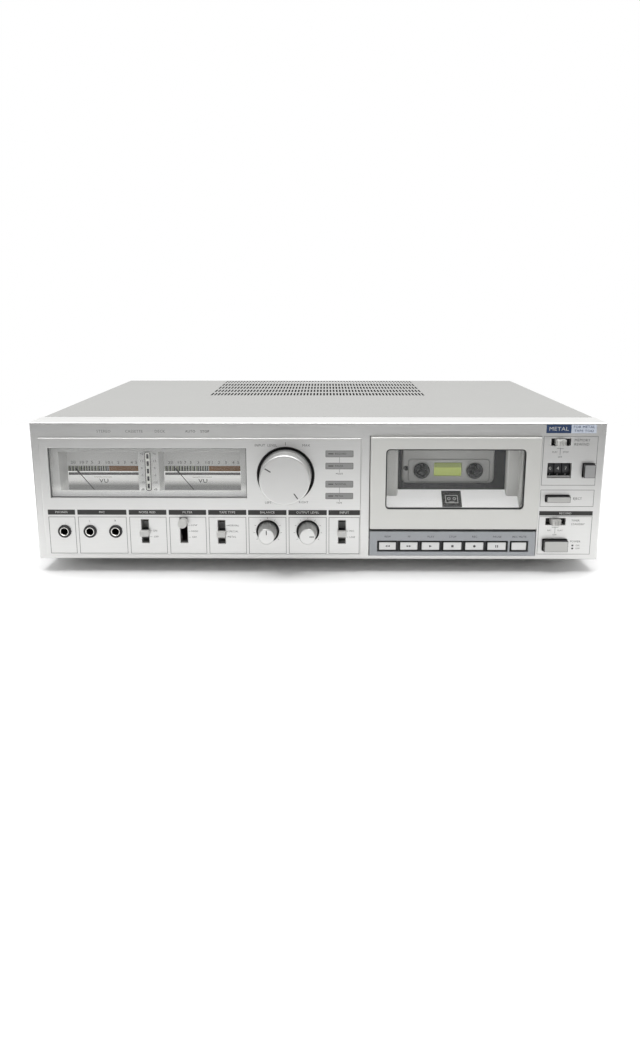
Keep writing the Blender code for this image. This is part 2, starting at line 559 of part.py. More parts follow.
# ---- front sockets
for name, x in JACKS:
    jack = bmesh.new()
    turned(jack, "y", (x, JACK_Z), ((4.4, -3.2), (5.0, -2.7), (5.0, -2.1), (4.0, -2.1), (4.0, 6.0)))
    body = bmesh.new()
    box(body, x - 6.5, x + 6.5, 4.3, 24.0, JACK_Z - 6.5, JACK_Z + 6.5)
    bore = bmesh.new()
    turned(bore, "y", (x, JACK_Z), ((3.25, -9.0), (3.25, 21.0)))
    node(name, jack, DARK, (x, -2, JACK_Z), (("UNION", body), ("DIFFERENCE", bore)))

# ---- electronics and rear connections
board = bmesh.new()
box(board, -204.0, 24.0, 60.0, 200.0, 12.0, 13.6)
parts = bmesh.new()
for x, y, wide, deep, tall in ((-180, 80, 26, 12, 12), (-140, 84, 16, 16, 10), (-60, 90, 40, 10, 14),
                               (-20, 120, 14, 34, 18), (-150, 150, 44, 12, 26), (-84, 150, 20, 8, 9)):
    box(parts, x, x + wide, y, y + deep, 13.0, 13.6 + tall)
for x, y, radius, tall in ((-40, 170, 9, 32), (-64, 176, 9, 32), (-110, 110, 6, 15), (-96, 180, 5, 12),
                           (0, 176, 6, 18), (-170, 184, 8, 26)):
    turned(parts, "z", (x, y), ((radius, 13.0), (radius, 13.6 + tall)), 16)
node("main_circuit_board", board, BOARD, (-90, 130, 12), (("UNION", parts),))

core = bmesh.new()
box(core, -190.0, -124.0, 226.0, 282.0, 2.1, 4.1)
windings = bmesh.new()
box(windings, -184.0, -130.0, 238.0, 270.0, 3.0, 52.0)
box(windings, -176.0, -138.0, 230.0, 278.0, 10.0, 45.0)
node("power_transformer", core, IRON, (-157, 254, 2), (("UNION", windings),))

sockets = bmesh.new()
box(sockets, 72.0, 128.0, 296.0, 300.0, 36.0, 76.0)
socket_barrels = bmesh.new()
socket_bores = bmesh.new()
for x in (85.0, 115.0):
    for z in (45.0, 67.0):
        turned(socket_barrels, "y", (x, z), ((4.2, 299.0), (4.2, DEPTH + REAR_REACH)), 20)
        turned(socket_bores, "y", (x, z), ((1.6, 306.0), (1.6, DEPTH + REAR_REACH + 4)), 12)
node("line_jack_board", sockets, DARK, (100, 300, 56),
     (("UNION", socket_barrels), ("DIFFERENCE", socket_bores)))

gland = bmesh.new()
turned(gland, "y", (-170.0, 30.0), (
    (3.2, 298.0), (6.5, 298.0), (6.5, 308.3), (9.0, 308.3), (9.0, 310.4), (6.0, 310.8),
    (5.0, DEPTH + REAR_REACH - 0.4), (3.2, DEPTH + REAR_REACH - 0.4)), 24, True)
node("mains_cord_gland", gland, RUBBER, (-170, 308, 30))
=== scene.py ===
# %% [markdown]
# # A front-loading cassette deck
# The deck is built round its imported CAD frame. The frame brings the joints and the hidden works.
# This lesson dresses it: every part that shows is made again with finer edges, and every finish
# is a node material. Each cell makes one piece, or one family of pieces.
# %% Load the frame
import math

import bmesh
import bpy
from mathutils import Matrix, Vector


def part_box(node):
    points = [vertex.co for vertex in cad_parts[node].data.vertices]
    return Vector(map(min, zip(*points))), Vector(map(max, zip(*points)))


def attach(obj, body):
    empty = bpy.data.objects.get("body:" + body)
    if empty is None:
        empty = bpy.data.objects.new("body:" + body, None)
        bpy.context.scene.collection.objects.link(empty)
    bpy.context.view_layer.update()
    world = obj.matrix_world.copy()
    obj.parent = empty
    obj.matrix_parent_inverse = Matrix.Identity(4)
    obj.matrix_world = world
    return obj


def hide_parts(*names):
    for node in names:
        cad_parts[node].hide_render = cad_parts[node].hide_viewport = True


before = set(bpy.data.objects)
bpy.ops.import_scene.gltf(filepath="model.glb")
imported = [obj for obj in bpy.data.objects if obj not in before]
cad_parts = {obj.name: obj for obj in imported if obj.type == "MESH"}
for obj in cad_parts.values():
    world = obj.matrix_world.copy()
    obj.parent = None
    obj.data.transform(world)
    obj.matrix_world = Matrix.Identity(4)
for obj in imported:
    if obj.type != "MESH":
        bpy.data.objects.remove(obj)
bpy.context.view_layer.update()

# %% [markdown]
# ## Measuring in millimetres from the fascia
# A panel maker measures from the front panel: x from its middle, y back from its face, z up from
# its lower edge. Working in those millimetres keeps the numbers readable, and one function turns
# them into Blender's metres. The panel's own CAD box says where it stands.
# %% Millimetres on the fascia
panel_low, panel_high = (Vector(corner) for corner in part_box("front_panel"))
RAISED = 1.8
MIDDLE = (panel_low.x + panel_high.x) / 2
FACE = panel_low.y + RAISED / 1000
UNDER = panel_low.z
HALF = (panel_high.x - panel_low.x) * 500
HEIGHT = (panel_high.z - panel_low.z) * 1000


def place(x, y, z):
    """Metres in the frame for millimetres on the fascia."""
    return Vector((MIDDLE + x / 1000, FACE + y / 1000, UNDER + z / 1000))


def span(node):
    """(x0, x1, y0, y1, z0, z1) of a CAD node, in millimetres on the fascia."""
    low, high = (Vector(corner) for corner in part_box(node))
    sides = zip(low - place(0, 0, 0), high - place(0, 0, 0))
    return tuple(round(value * 1000, 3) for pair in sides for value in pair)


print("fascia", round(2 * HALF, 1), "x", round(HEIGHT, 1), "mm")

# %% [markdown]
# ## Shapes from rings
# Most parts of a deck are pressed, turned or moulded, so they can be described by a few outlines
# in a row. A ring is one outline. Joining ring after ring with quads gives a closed skin, and that
# one idea makes plates with eased edges, turned knobs and folded sheet.
# %% Rings, plates and turnings
def outline(sides, inset=0.0, radius=0.0, steps=6):
    """Corner points of a rectangle (x0, x1, z0, z1), drawn in by inset, with rounded corners."""
    x0, x1, z0, z1 = sides[0] + inset, sides[1] - inset, sides[2] + inset, sides[3] - inset
    if radius <= 0:
        return [(x0, z0), (x1, z0), (x1, z1), (x0, z1)]
    points = []
    for cx, cz, start in ((x0, z0, 180), (x1, z0, 270), (x1, z1, 0), (x0, z1, 90)):
        mx = cx + radius if cx == x0 else cx - radius
        mz = cz + radius if cz == z0 else cz - radius
        for k in range(steps + 1):
            angle = math.radians(start + 90 * k / steps)
            points.append((mx + radius * math.cos(angle), mz + radius * math.sin(angle)))
    return points


def slab(sides, stations, radius=0.0, steps=6):
    """A plate that faces the front. stations lists (y, inset) from front to back."""
    return {"rings": [[(x, y, z) for x, z in outline(sides, inset, radius, steps)]
                      for y, inset in stations]}


def block(x0, x1, y0, y1, z0, z1):
    """A plain box between two corners."""
    return slab((x0, x1, z0, z1), ((y0, 0.0), (y1, 0.0)))


def border(outer, inner, y0, y1, outer_radius=0.0, inner_radius=0.0, steps=6):
    """A flat frame between two outlines."""
    rings = []
    for sides, radius, y in ((outer, outer_radius, y0), (outer, outer_radius, y1),
                             (inner, inner_radius, y1), (inner, inner_radius, y0)):
        rings.append([(x, y, z) for x, z in outline(sides, 0.0, radius, steps)])
    return {"rings": rings, "closed": True}


def turning(centre, profile, steps=64, axis="y", bored=False):
    """(radius, height) pairs turned about an axis. A bored one has a hole through it."""
    rings = []
    for radius, height in profile:
        ring = []
        for k in range(steps):
            angle = 2 * math.pi * (k + 0.5) / steps
            u, v = radius * math.cos(angle), radius * math.sin(angle)
            ring.append({"x": (height, centre[0] + u, centre[1] + v),
                         "y": (centre[0] + u, height, centre[1] + v),
                         "z": (centre[0] + u, centre[1] + v, height)}[axis])
        rings.append(ring)
    return {"rings": rings, "closed": bored}


def stripe(centre, angle, inner, outer, width, y0, y1):
    """A straight bar that faces the front, from radius inner to outer along an angle."""
    along = Vector((math.cos(math.radians(angle)), math.sin(math.radians(angle))))
    across = Vector((-along.y, along.x)) * (width / 2)
    near, far = Vector(centre) + along * inner, Vector(centre) + along * outer
    corners = (near - across, far - across, far + across, near + across)
    return {"rings": [[(p.x, y, p.y) for p in corners] for y in (y0, y1)]}


def folded(section, x0, x1):
    """A (y, z) outline carried along x."""
    return {"rings": [[(x, y, z) for y, z in section] for x in (x0, x1)]}


def skin(parts):
    """One bmesh, in millimetres, from any number of ring shapes and ready meshes."""
    bm = bmesh.new()
    for part in parts:
        if "faces" in part:
            points = [bm.verts.new(point) for point in part["points"]]
            for face in part["faces"]:
                bm.faces.new([points[i] for i in face])
            continue
        rows = [[bm.verts.new(point) for point in ring] for ring in part["rings"]]
        pairs = list(zip(rows, rows[1:]))
        if part.get("closed"):
            pairs.append((rows[-1], rows[0]))
        else:
            bm.faces.new(rows[0])
            bm.faces.new(rows[-1])
        for first, second in pairs:
            for i in range(len(first)):
                j = (i + 1) % len(first)
                bm.faces.new((first[i], first[j], second[j], second[i]))
    bmesh.ops.recalc_face_normals(bm, faces=bm.faces)
    return bm


print("a rounded outline has", len(outline((0, 10, 0, 10), radius=1)), "points")

# %% [markdown]
# ## From shape to piece
# A piece takes its shape, the openings cut from it, softened edges and a finish. Real sheet and
# moulded edges are never razor sharp, and a narrow bevel catches the light as they do. The bevel is
# made before thin print is laid on, so that the print stays crisp. Last, the piece rides on its
# CAD body and hides the CAD nodes it stands for.
# %% Objects, tools and shading
CREASE = math.radians(38)


def plain_object(name, parts, origin):
    """An object with its origin at a given place, made of ring shapes."""
    bm = skin(parts)
    for vertex in bm.verts:
        vertex.co = place(*vertex.co) - origin
    mesh = bpy.data.meshes.new(name)
    bm.to_mesh(mesh)
    bm.free()
    made = bpy.data.objects.new(name, mesh)
    bpy.context.scene.collection.objects.link(made)
    made.location = origin
    return made


def settled(made, tools=()):
    """Replaces the mesh by what its modifiers make, then clears modifiers and tools."""
    graph = bpy.context.evaluated_depsgraph_get()
    mesh = bpy.data.meshes.new_from_object(made.evaluated_get(graph))
    made.modifiers.clear()
    made.data = mesh
    for tool in tools:
        bpy.data.objects.remove(tool, do_unlink=True)


def evenly_shaded(made):
    """Smooth faces, sharp creases, and normals weighted so that flat faces stay flat."""
    made.data.shade_smooth()
    made.data.set_sharp_from_angle(angle=CREASE)
    made.modifiers.new("even shading", "WEIGHTED_NORMAL").keep_sharp = True


def laid_on(made, extras, origin):
    """Adds shapes to a finished mesh, each lot with a finish of its own."""
    bm = bmesh.new()
    bm.from_mesh(made.data)
    for index, (shapes, coat) in enumerate(extras, 1):
        layer = skin(shapes)
        for vertex in layer.verts:
            vertex.co = place(*vertex.co) - origin
        for face in layer.faces:
            face.material_index = index
        laid = bpy.data.meshes.new("laid")
        layer.to_mesh(laid)
        layer.free()
        bm.from_mesh(laid)
        bpy.data.meshes.remove(laid)
        made.data.materials.append(coat)
    bm.to_mesh(made.data)
    bm.free()


print("edges that turn by more than", round(math.degrees(CREASE)), "degrees stay sharp")

# %% Making a piece
def piece(name, body, parts, coat, join=(), cut=(), changes=(), bevel=0.0, steps=2, extras=(),
          stands_for=(), centre=None):
    """A finished piece. join comes before cut, or changes lists (operation, shapes) in any order.
    extras lists (parts, coat) laid on after the edges are softened."""
    origin = place(*centre) if centre else Vector()
    made = plain_object(name, parts, origin)
    tools = []
    for operation, shapes in changes or (("UNION", join), ("DIFFERENCE", cut)):
        if shapes:
            tool = plain_object("tool", shapes, Vector())
            tools.append(tool)
            change = made.modifiers.new(operation, "BOOLEAN")
            change.operation, change.solver, change.use_self = operation, "EXACT", True
            change.object = tool
    if bevel:
        ease = made.modifiers.new("eased edges", "BEVEL")
        ease.width, ease.segments, ease.limit_method = bevel / 1000, steps, "ANGLE"
        ease.angle_limit, ease.use_clamp_overlap = CREASE, False
    if made.modifiers:
        settled(made, tools)
    made.data.materials.clear()
    made.data.materials.append(coat)
    if extras:
        laid_on(made, extras, origin)
    evenly_shaded(made)
    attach(made, body)
    if stands_for:
        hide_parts(*stands_for)
    print(f"{name}: {len(made.data.polygons)} faces on {body}")
    return made


# %% [markdown]
# ## Lettering
# Labels on a deck are screen printed: a film of ink a few hundredths of a millimetre thick. A text
# curve with a small extrusion, turned into a mesh, gives exactly that. All words are plain function
# names and scale numbers.
# %% Words as thin solids
INK = 0.04


def words(text, x, z, height, y=-RAISED, align="CENTER", back=False, wide=1.0):
    """Lettering of a given capital height, standing an ink film proud of the surface at y."""
    curve = bpy.data.curves.new("words", "FONT")
    curve.body, curve.size, curve.resolution_u = text, height / 0.72, 2
    curve.extrude, curve.align_x, curve.align_y = INK, align, "CENTER"
    curve.space_character = 1.08
    holder = bpy.data.objects.new("words", curve)
    bpy.context.scene.collection.objects.link(holder)
    bpy.context.view_layer.update()
    mesh = bpy.data.meshes.new_from_object(
        holder.evaluated_get(bpy.context.evaluated_depsgraph_get()))
    bm = bmesh.new()
    bm.from_mesh(mesh)
    bmesh.ops.remove_doubles(bm, verts=bm.verts, dist=1e-4)
    side = -1 if back else 1
    points = [(x + side * v.co.x * wide, y - side * v.co.z, z + v.co.y) for v in bm.verts]
    faces = [[v.index for v in face.verts] for face in bm.faces]
    bm.free()
    bpy.data.objects.remove(holder)
    bpy.data.curves.remove(curve)
    bpy.data.meshes.remove(mesh)
    return {"points": points, "faces": faces}


def line(x0, z0, x1, z1, width=0.35, y=-RAISED):
    """A printed rule, level or upright."""
    half = width / 2
    return block(min(x0, x1) - half, max(x0, x1) + half, y - INK, y + INK,
                 min(z0, z1) - half, max(z0, z1) + half)


def box_rule(x0, x1, z0, z1, width=0.35, y=-RAISED, radius=0.0):
    """A printed outline."""
    inner = (x0 + width, x1 - width, z0 + width, z1 - width)
    return border((x0, x1, z0, z1), inner, y - INK, y + INK, radius, max(radius - width, 0.0))


print("the ink film is", INK, "mm thick")

# %% [markdown]
# ## A general finish
# Paint, plastic and metal share one recipe: a base colour that drifts a little, a roughness that
# follows the same grain, and a fine relief. What changes is the grain. Stretched noise reads as
# brushing, even noise as a sprayed or sparked texture. A value that is the same everywhere goes
# straight on the shader's own socket.
# %% Node helpers
MIX_A, MIX_B, MIX_RESULT = 6, 7, 2
RUBBED = (0.9, 0.9, 0.88, 1)


def add(tree, kind, **settings):
    """A new node. A setting goes to the socket of that name, or else to the node itself."""
    made = tree.nodes.new(kind)
    for key, value in settings.items():
        if key in made.inputs:
            made.inputs[key].default_value = value
        else:
            setattr(made, key, value)
    return made


def remapped(tree, source, start, end, low, high):
    """A value that runs from low to high while its source runs from start to end."""
    made = add(tree, "ShaderNodeMapRange")
    for key, value in (("From Min", start), ("From Max", end), ("To Min", low), ("To Max", high)):
        made.inputs[key].default_value = value
    tree.links.new(source, made.inputs["Value"])
    return made.outputs["Result"]


def spread(tree, noise, low, high):
    """Stretches a noise value, which seldom leaves 0.3 to 0.7, to run from low to high."""
    return remapped(tree, noise, 0.3, 0.7, low, high)


def round_the_axis(tree, where):
    """Texture space that depends only on the distance from the object's y axis."""
    flat = add(tree, "ShaderNodeVectorMath", operation="MULTIPLY")
    flat.inputs[1].default_value = (1, 0, 1)
    length = add(tree, "ShaderNodeVectorMath", operation="LENGTH")
    tree.links.new(where, flat.inputs[0])
    tree.links.new(flat.outputs[0], length.inputs[0])
    rings = add(tree, "ShaderNodeCombineXYZ")
    tree.links.new(length.outputs["Value"], rings.inputs["X"])
    return rings.outputs[0]


def rubbed_bright(tree, base, wear):
    """Brightens a colour where the surface turns over an edge, as handling does."""
    link = tree.links.new
    eased = add(tree, "ShaderNodeBevel", samples=4, Radius=0.0007)
    facing = add(tree, "ShaderNodeNewGeometry")
    turn = add(tree, "ShaderNodeVectorMath", operation="DOT_PRODUCT")
    link(eased.outputs[0], turn.inputs[0])
    link(facing.outputs["Normal"], turn.inputs[1])
    rubbed = add(tree, "ShaderNodeMix", data_type="RGBA")
    link(remapped(tree, turn.outputs["Value"], 0.99, 0.9, 0.0, wear), rubbed.inputs["Factor"])
    link(base, rubbed.inputs[MIX_A])
    rubbed.inputs[MIX_B].default_value = RUBBED
    return rubbed.outputs[MIX_RESULT]


print("colour sockets of a mix node:", MIX_A, MIX_B, "and", MIX_RESULT)

# %% The finish recipe
def finish(name, slot, colour, roughness, metallic=0.0, grain=(900, 900, 900), drift=0.04, uneven=0.06,
           relief=0.08, wear=0.0, spun=False, **sockets):
    """A procedural material. grain counts the noise's repeats per metre along x, y and z."""
    made = bpy.data.materials.new(name)
    made.use_nodes = True
    tree, link = made.node_tree, made.node_tree.links.new
    surface = tree.nodes["Principled BSDF"]
    surface.inputs["Metallic"].default_value = metallic
    for key, value in sockets.items():
        surface.inputs[key.replace("_", " ")].default_value = value
    where = add(tree, "ShaderNodeTexCoord").outputs["Object"]
    if spun:
        where = round_the_axis(tree, where)
    stretch = add(tree, "ShaderNodeMapping")
    stretch.inputs["Scale"].default_value = grain
    link(where, stretch.inputs["Vector"])
    fine = add(tree, "ShaderNodeTexNoise", Scale=1.0, Detail=3.0, Roughness=0.6)
    link(stretch.outputs[0], fine.inputs["Vector"])
    cloud = add(tree, "ShaderNodeTexNoise", Scale=14.0, Detail=2.0)
    link(where, cloud.inputs["Vector"])
    shade = add(tree, "ShaderNodeMath", operation="MULTIPLY")
    link(spread(tree, fine.outputs["Fac"], 1 - drift, 1 + drift), shade.inputs[0])
    link(spread(tree, cloud.outputs["Fac"], 1 - drift / 2, 1 + drift / 2), shade.inputs[1])
    tint = add(tree, "ShaderNodeVectorMath", operation="SCALE")
    tint.inputs[0].default_value = colour
    link(shade.outputs[0], tint.inputs["Scale"])
    base = tint.outputs[0]
    rough = spread(tree, fine.outputs["Fac"], roughness - uneven, roughness + uneven)
    if wear:
        base = rubbed_bright(tree, base, wear)
    link(base, surface.inputs["Base Color"])
    link(rough, surface.inputs["Roughness"])
    bump = add(tree, "ShaderNodeBump", Strength=relief, Distance=0.0001)
    link(fine.outputs["Fac"], bump.inputs["Height"])
    link(bump.outputs[0], surface.inputs["Normal"])
    return made


# %% [markdown]
# ## The deck's finishes
# The fascia is aluminium brushed from side to side and clear anodised, so its grain is long in x
# and very fine in z. The cover is sheet steel under grey lacquer. Keys and buttons are moulded in
# black and carry a thin metal cap. The numbers are linear colours.
# %% Metals, lacquers and plastics
silver = finish("brushed aluminium", "brushed_silver", (0.70, 0.70, 0.69), 0.39, 0.82,
                grain=(60, 3000, 5200), drift=0.03, relief=0.05, wear=0.35)
lacquer = finish("grey lacquer", "grey_lacquer", (0.295, 0.295, 0.286), 0.48, drift=0.02,
                 grain=(2600, 2600, 2600), relief=0.05)
door_silver = finish("satin door paint", "satin_silver", (0.66, 0.66, 0.635), 0.42, 0.35,
                     grain=(1800, 1800, 1800), drift=0.02, relief=0.04, wear=0.3)
cap_metal = finish("bright key cap", "key_metal", (0.64, 0.64, 0.635), 0.34, 0.6,
                   grain=(40, 3000, 4200), drift=0.04, relief=0.05)
button_metal = finish("satin button face", "key_metal", (0.50, 0.50, 0.485), 0.42, 0.5,
                      grain=(40, 3000, 4200), drift=0.03, relief=0.04)
reset_grey = finish("grey button face", "key_metal", (0.36, 0.36, 0.36), 0.45, 0.3, grain=(40, 3000, 4200),
                    drift=0.03, relief=0.04)
knob_metal = finish("spun aluminium", "knob_aluminium", (0.66, 0.66, 0.65), 0.38, 0.85, spun=True,
                    grain=(5200, 1, 1), drift=0.05, relief=0.06)
strip_paint = finish("blue grey satin", "key_strip", (0.36, 0.375, 0.395), 0.42, 0.35,
                     grain=(1500, 1500, 1500), drift=0.03, relief=0.04)
black = finish("black moulding", "dark_plastic", (0.012, 0.012, 0.013), 0.45, drift=0.10,
               grain=(2200, 2200, 2200), relief=0.10)
dark_grey = finish("dark grey moulding", "dark_plastic", (0.045, 0.045, 0.048), 0.5, drift=0.08,
                   grain=(2200, 2200, 2200), relief=0.08)
pale_plastic = finish("light grey moulding", "light_plastic", (0.58, 0.58, 0.56), 0.45, drift=0.03,
                      grain=(1700, 1700, 1700), relief=0.05)
white_plastic = finish("white moulding", "light_plastic", (0.78, 0.78, 0.76), 0.42, drift=0.02,
                       grain=(1700, 1700, 1700), relief=0.04)
# The slope's white carries a painted glow, an emission that stands in for the tape lamp's light falling on
# it.
white_with_painted_glow = finish("white moulding with painted glow", "light_plastic", (0.80, 0.80, 0.79), 0.42, drift=0.02,
                   grain=(1700, 1700, 1700), relief=0.04, Emission_Color=(1, 1, 1, 1), Emission_Strength=0.30)
well_grey = finish("mid grey moulding", "light_plastic", (0.29, 0.29, 0.285), 0.5, drift=0.04,
                   grain=(1900, 1900, 1900), relief=0.06)
rubber = finish("black rubber", "black_rubber", (0.018, 0.018, 0.018), 0.8, drift=0.15,
                grain=(1200, 1200, 1200), relief=0.2)
zinc = finish("zinc plate", "zinc_steel", (0.55, 0.55, 0.53), 0.38, 0.9, grain=(160, 160, 160),
              drift=0.10, uneven=0.1, relief=0.04)
brass = finish("turned brass", "brass", (0.66, 0.47, 0.20), 0.3, 1.0, spun=True, grain=(3000, 1, 1),
               drift=0.08, relief=0.08)
nickel = finish("nickel plate", "zinc_steel", (0.70, 0.69, 0.66), 0.22, 1.0, grain=(900, 900, 900),
                drift=0.04, relief=0.02)
laminate = finish("brown laminate", "board", (0.20, 0.11, 0.04), 0.5, grain=(700, 90, 300),
                  drift=0.15, relief=0.1)
lamination = finish("lacquered laminations", "laminations", (0.09, 0.08, 0.07), 0.45, 0.4,
                    grain=(40, 40, 2600), drift=0.2, relief=0.5)
frame_white = finish("meter frame moulding", "meter_face", (0.70, 0.70, 0.66), 0.45, drift=0.02,
                     grain=(1500, 1500, 1500), relief=0.04)

# %% [markdown]
# ## Inks
# Ink is flat and matt. It is thinner where the squeegee pressed harder, which shows as a faint
# mottle in its shade.
# %% Printing inks
def ink(name, slot, colour):
    """A matt, faintly mottled finish."""
    return finish(name, slot, colour, 0.6, drift=0.10, grain=(1400, 1400, 1400), relief=0.02)


ink_dark = ink("dark ink", "dark_plastic", (0.055, 0.055, 0.055))
ink_grey = ink("grey ink", "dark_plastic", (0.19, 0.19, 0.19))
ink_bar = ink("header ink", "dark_plastic", (0.032, 0.032, 0.03))
ink_light = ink("light ink", "meter_face", (0.62, 0.62, 0.60))
ink_white = ink("white ink", "meter_face", (0.85, 0.85, 0.83))
ink_green = ink("green grey ink", "meter_face", (0.30, 0.31, 0.25))
ink_orange = ink("brown orange ink", "meter_face", (0.25, 0.14, 0.07))
ink_blue = ink("blue label ink", "key_strip", (0.018, 0.045, 0.12))
ink_pale = ink("pale blue ink", "meter_face", (0.60, 0.65, 0.74))
ink_red = ink("red ink", "meter_face", (0.40, 0.04, 0.03))

# %% [markdown]
# ## Clear windows and the lamp
# The panes are thin clear acrylic. Light passes straight through a thin pane, so a low alpha with
# a gloss over it tells the truth better than thick glass, and it lets lamps light what lies
# behind. The tape window is a yellow-green diffuser lit from behind: brighter below, with a
# darker band across its top. A colour ramp over the height gives such a shade, and the same ramp
# sets the glow.
# %% Acrylic and lit diffuser
acrylic = finish("clear acrylic", "clear_acrylic", (0.80, 0.82, 0.81), 0.08, drift=0.01, uneven=0.02,
                 relief=0.0, Alpha=0.035, Specular_IOR_Level=0.9)


def shaded_by_height(made, low, high, stops, glow):
    """Gives a finish a colour, and a glow, that change between two heights in millimetres.
    stops lists (share of the height, colour)."""
    tree, link = made.node_tree, made.node_tree.links.new
    apart = add(tree, "ShaderNodeSeparateXYZ")
    link(tree.nodes["Texture Coordinate"].outputs["Object"], apart.inputs[0])
    height = remapped(tree, apart.outputs["Z"], place(0, 0, low).z, place(0, 0, high).z, 0.0, 1.0)
    ramp = add(tree, "ShaderNodeValToRGB")
    elements = ramp.color_ramp.elements
    elements.remove(elements[0])
    elements[0].position, elements[0].color = stops[0][0], (*stops[0][1], 1)
    for share, colour in stops[1:]:
        elements.new(share).color = (*colour, 1)
    link(height, ramp.inputs["Fac"])
    surface = tree.nodes["Principled BSDF"]
    link(ramp.outputs["Color"], surface.inputs["Base Color"])
    link(ramp.outputs["Color"], surface.inputs["Emission Color"])
    surface.inputs["Emission Strength"].default_value = glow
    return made


lamp_green = shaded_by_height(
    finish("lit diffuser", "lit_window", (0.46, 0.53, 0.13), 0.4, drift=0.05, grain=(600, 600, 600)),
    59.7, 70.9, ((0.0, (0.42, 0.50, 0.13)), (0.62, (0.48, 0.56, 0.15)), (0.66, (0.29, 0.34, 0.11)),
                 (1.0, (0.26, 0.31, 0.10))), 0.25)

# %% [markdown]
# ## Fascia
# The front is one thick aluminium extrusion that wraps back over the top and sides. A field on the
# left stands a little proud of it. Starting from a closed slab, the hollow behind is taken away,
# the field and the knob bosses are joined on, and every opening is cut. Doing it in that order is
# how a machinist would, and the openings take their places from the CAD parts behind them.
# %% Where the openings are
WALL, RIM, WRAP = 4.0, 2.8, 29.0
LEFT_FIELD = (-211.3, 33.1, 4.0, 96.0)
METER_OPENING = (-204.6, -54.0, 49.6, 88.4)
WELL_OPENING = (39.6, 169.2, 3.2, 97.4)
COUNTER_WINDOW = (174.6, 192.8, 65.3, 77.0)
MEMORY_SLOT = (176.3, 191.1, 90.2, 95.8)
TIMER_SLOT = (175.8, 191.2, 28.1, 33.6)
LEVERS = {"noise_reduction_lever": (-133.2, 13.9, 32.3), "filter_lever": (-103.3, 14.0, 33.9),
          "tape_type_lever": (-74.1, 13.4, 31.8), "input_select_lever": (18.8, 13.6, 31.9)}
KNOBS = {"input_level_knob": (-24.2, 67.6, 22.0), "balance_knob": (-38.5, 23.2, 8.9),
         "output_level_knob": (-7.5, 23.2, 8.9)}
JACKS = {"phones_jack": -195.7, "mic_jack_left": -175.9, "mic_jack_right": -156.1}
JACK_Z = 22.9
INDICATORS = ((81.8, 86.6), (72.5, 77.1), (58.2, 63.1), (49.1, 53.6))
BUTTONS = ("eject_button", "power_button", "counter_reset_button")
COLLAR = 1.8


def button_sides(node, gap=0.0):
    """Outline of a push button's visible face: its CAD box without the collar behind the panel."""
    x0, x1, _, _, z0, z1 = span(node)
    return (x0 + COLLAR - gap, x1 - COLLAR + gap, z0 + COLLAR - gap, z1 - COLLAR + gap)


print("fascia carries", len(LEVERS), "levers,", len(KNOBS), "knobs and", len(JACKS), "sockets")

# %% Front panel with its openings
through = ((-5.0, 0.0), (WALL + 1, 0.0))
openings = [slab(sides, through) for sides in (METER_OPENING, WELL_OPENING, COUNTER_WINDOW,
                                               MEMORY_SLOT, TIMER_SLOT)]
openings += [slab(button_sides(name, 0.5), through) for name in BUTTONS]
openings += [slab((x - 2.7, x + 2.7, z0, z1), through) for x, z0, z1 in LEVERS.values()]
openings += [turning((x, JACK_Z), ((4.3, -5.0), (4.3, WALL + 1)), 40) for x in JACKS.values()]
openings += [slab((6.2, 27.0, z0, z1), ((-5.0, 0.0), (-RAISED + 0.8, 0.0)), 0.5)
             for z0, z1 in INDICATORS]
openings += [turning((x, z), ((r, -5.0), (r, 6.0), (3.5, 6.0), (3.5, 12.0)), 80)
             for x, z, r in KNOBS.values()]
field = [slab(LEFT_FIELD, ((-RAISED, 0.7), (-RAISED + 0.2, 0.25), (-RAISED + 0.7, 0.0), (2.0, 0.0)))]
field += [turning((x, z), ((r + 2.6, 3.0), (r + 2.6, 9.0)), 64) for x, z, r in KNOBS.values()]
hollow = [block(-HALF + RIM, HALF - RIM, WALL, WRAP + 5, RIM, HEIGHT - RIM)]
shell = [slab((-HALF, HALF, 0.0, HEIGHT),
              ((0.0, 1.2), (0.25, 0.55), (0.7, 0.15), (1.4, 0.0), (WRAP, 0.0)))]
piece("fascia", "deck", shell, silver,
      changes=(("DIFFERENCE", hollow), ("UNION", field), ("DIFFERENCE", openings)), bevel=0.2,
      stands_for=("front_panel",))
print("fascia has", len(openings), "openings and recesses")

# %% [markdown]
# ## Sleeves in the knob wells
# Each knob sinks into a round well. The well is lined with a thin black cup, which is painted shade:
# it paints the dark ring of shadow that shows round every knob.
# %% Black cups
SMALL_WELL = 10.0
# The black cups are painted shade: they darken each well where a ring of shadow falls round the knob.
shade_cups = []
for x, z, r in KNOBS.values():
    wall = 0.5 if r < SMALL_WELL else 0.7
    shade_cups.append(turning((x, z), ((r - 0.15, -1.72), (r - 0.15, 5.85), (3.8, 5.85), (3.8, 5.1),
                                 (r - wall, 5.1), (r - wall, -1.72)), 80, bored=True))
piece("knob_well_shade_cups", "deck", shade_cups, black)

# %% [markdown]
# ## Cover with its field of slots
# The cover is one sheet folded over the works, with five rows of narrow slots above the warm parts.
# Cutting hundreds of slots with Booleans is slow, so the sheet is laid out as a grid that simply
# has no face where a slot is. Solidify then gives it the thickness of real sheet. The inner side
# and the slots' edges take a dark grey, which is painted shade that makes the slots read dark.
# %% Outline and rows of slots
SHEET, BEND = 0.9, 2.0
COLUMNS, ROWS = 65, 5
VENTS = (-106.0, 102.4, 171.0, 304.0)
SLOT_SHARE, WEB = 0.52, 9.6
pitch = (VENTS[1] - VENTS[0]) / COLUMNS
edge = [(-HALF, 0.0), (-HALF, 54.0)]
edge += [(-HALF + BEND - BEND * math.cos(math.radians(a)), HEIGHT - BEND + BEND * math.sin(math.radians(a)))
         for a in range(0, 91, 18)]
left_side, open_columns = list(edge), []
for k in range(COLUMNS):
    start = VENTS[0] + (k + (1 - SLOT_SHARE) / 2) * pitch
    open_columns.append(len(edge))
    edge += [(start, HEIGHT), (start + SLOT_SHARE * pitch, HEIGHT)]
edge += [(-x, z) for x, z in reversed(left_side)]
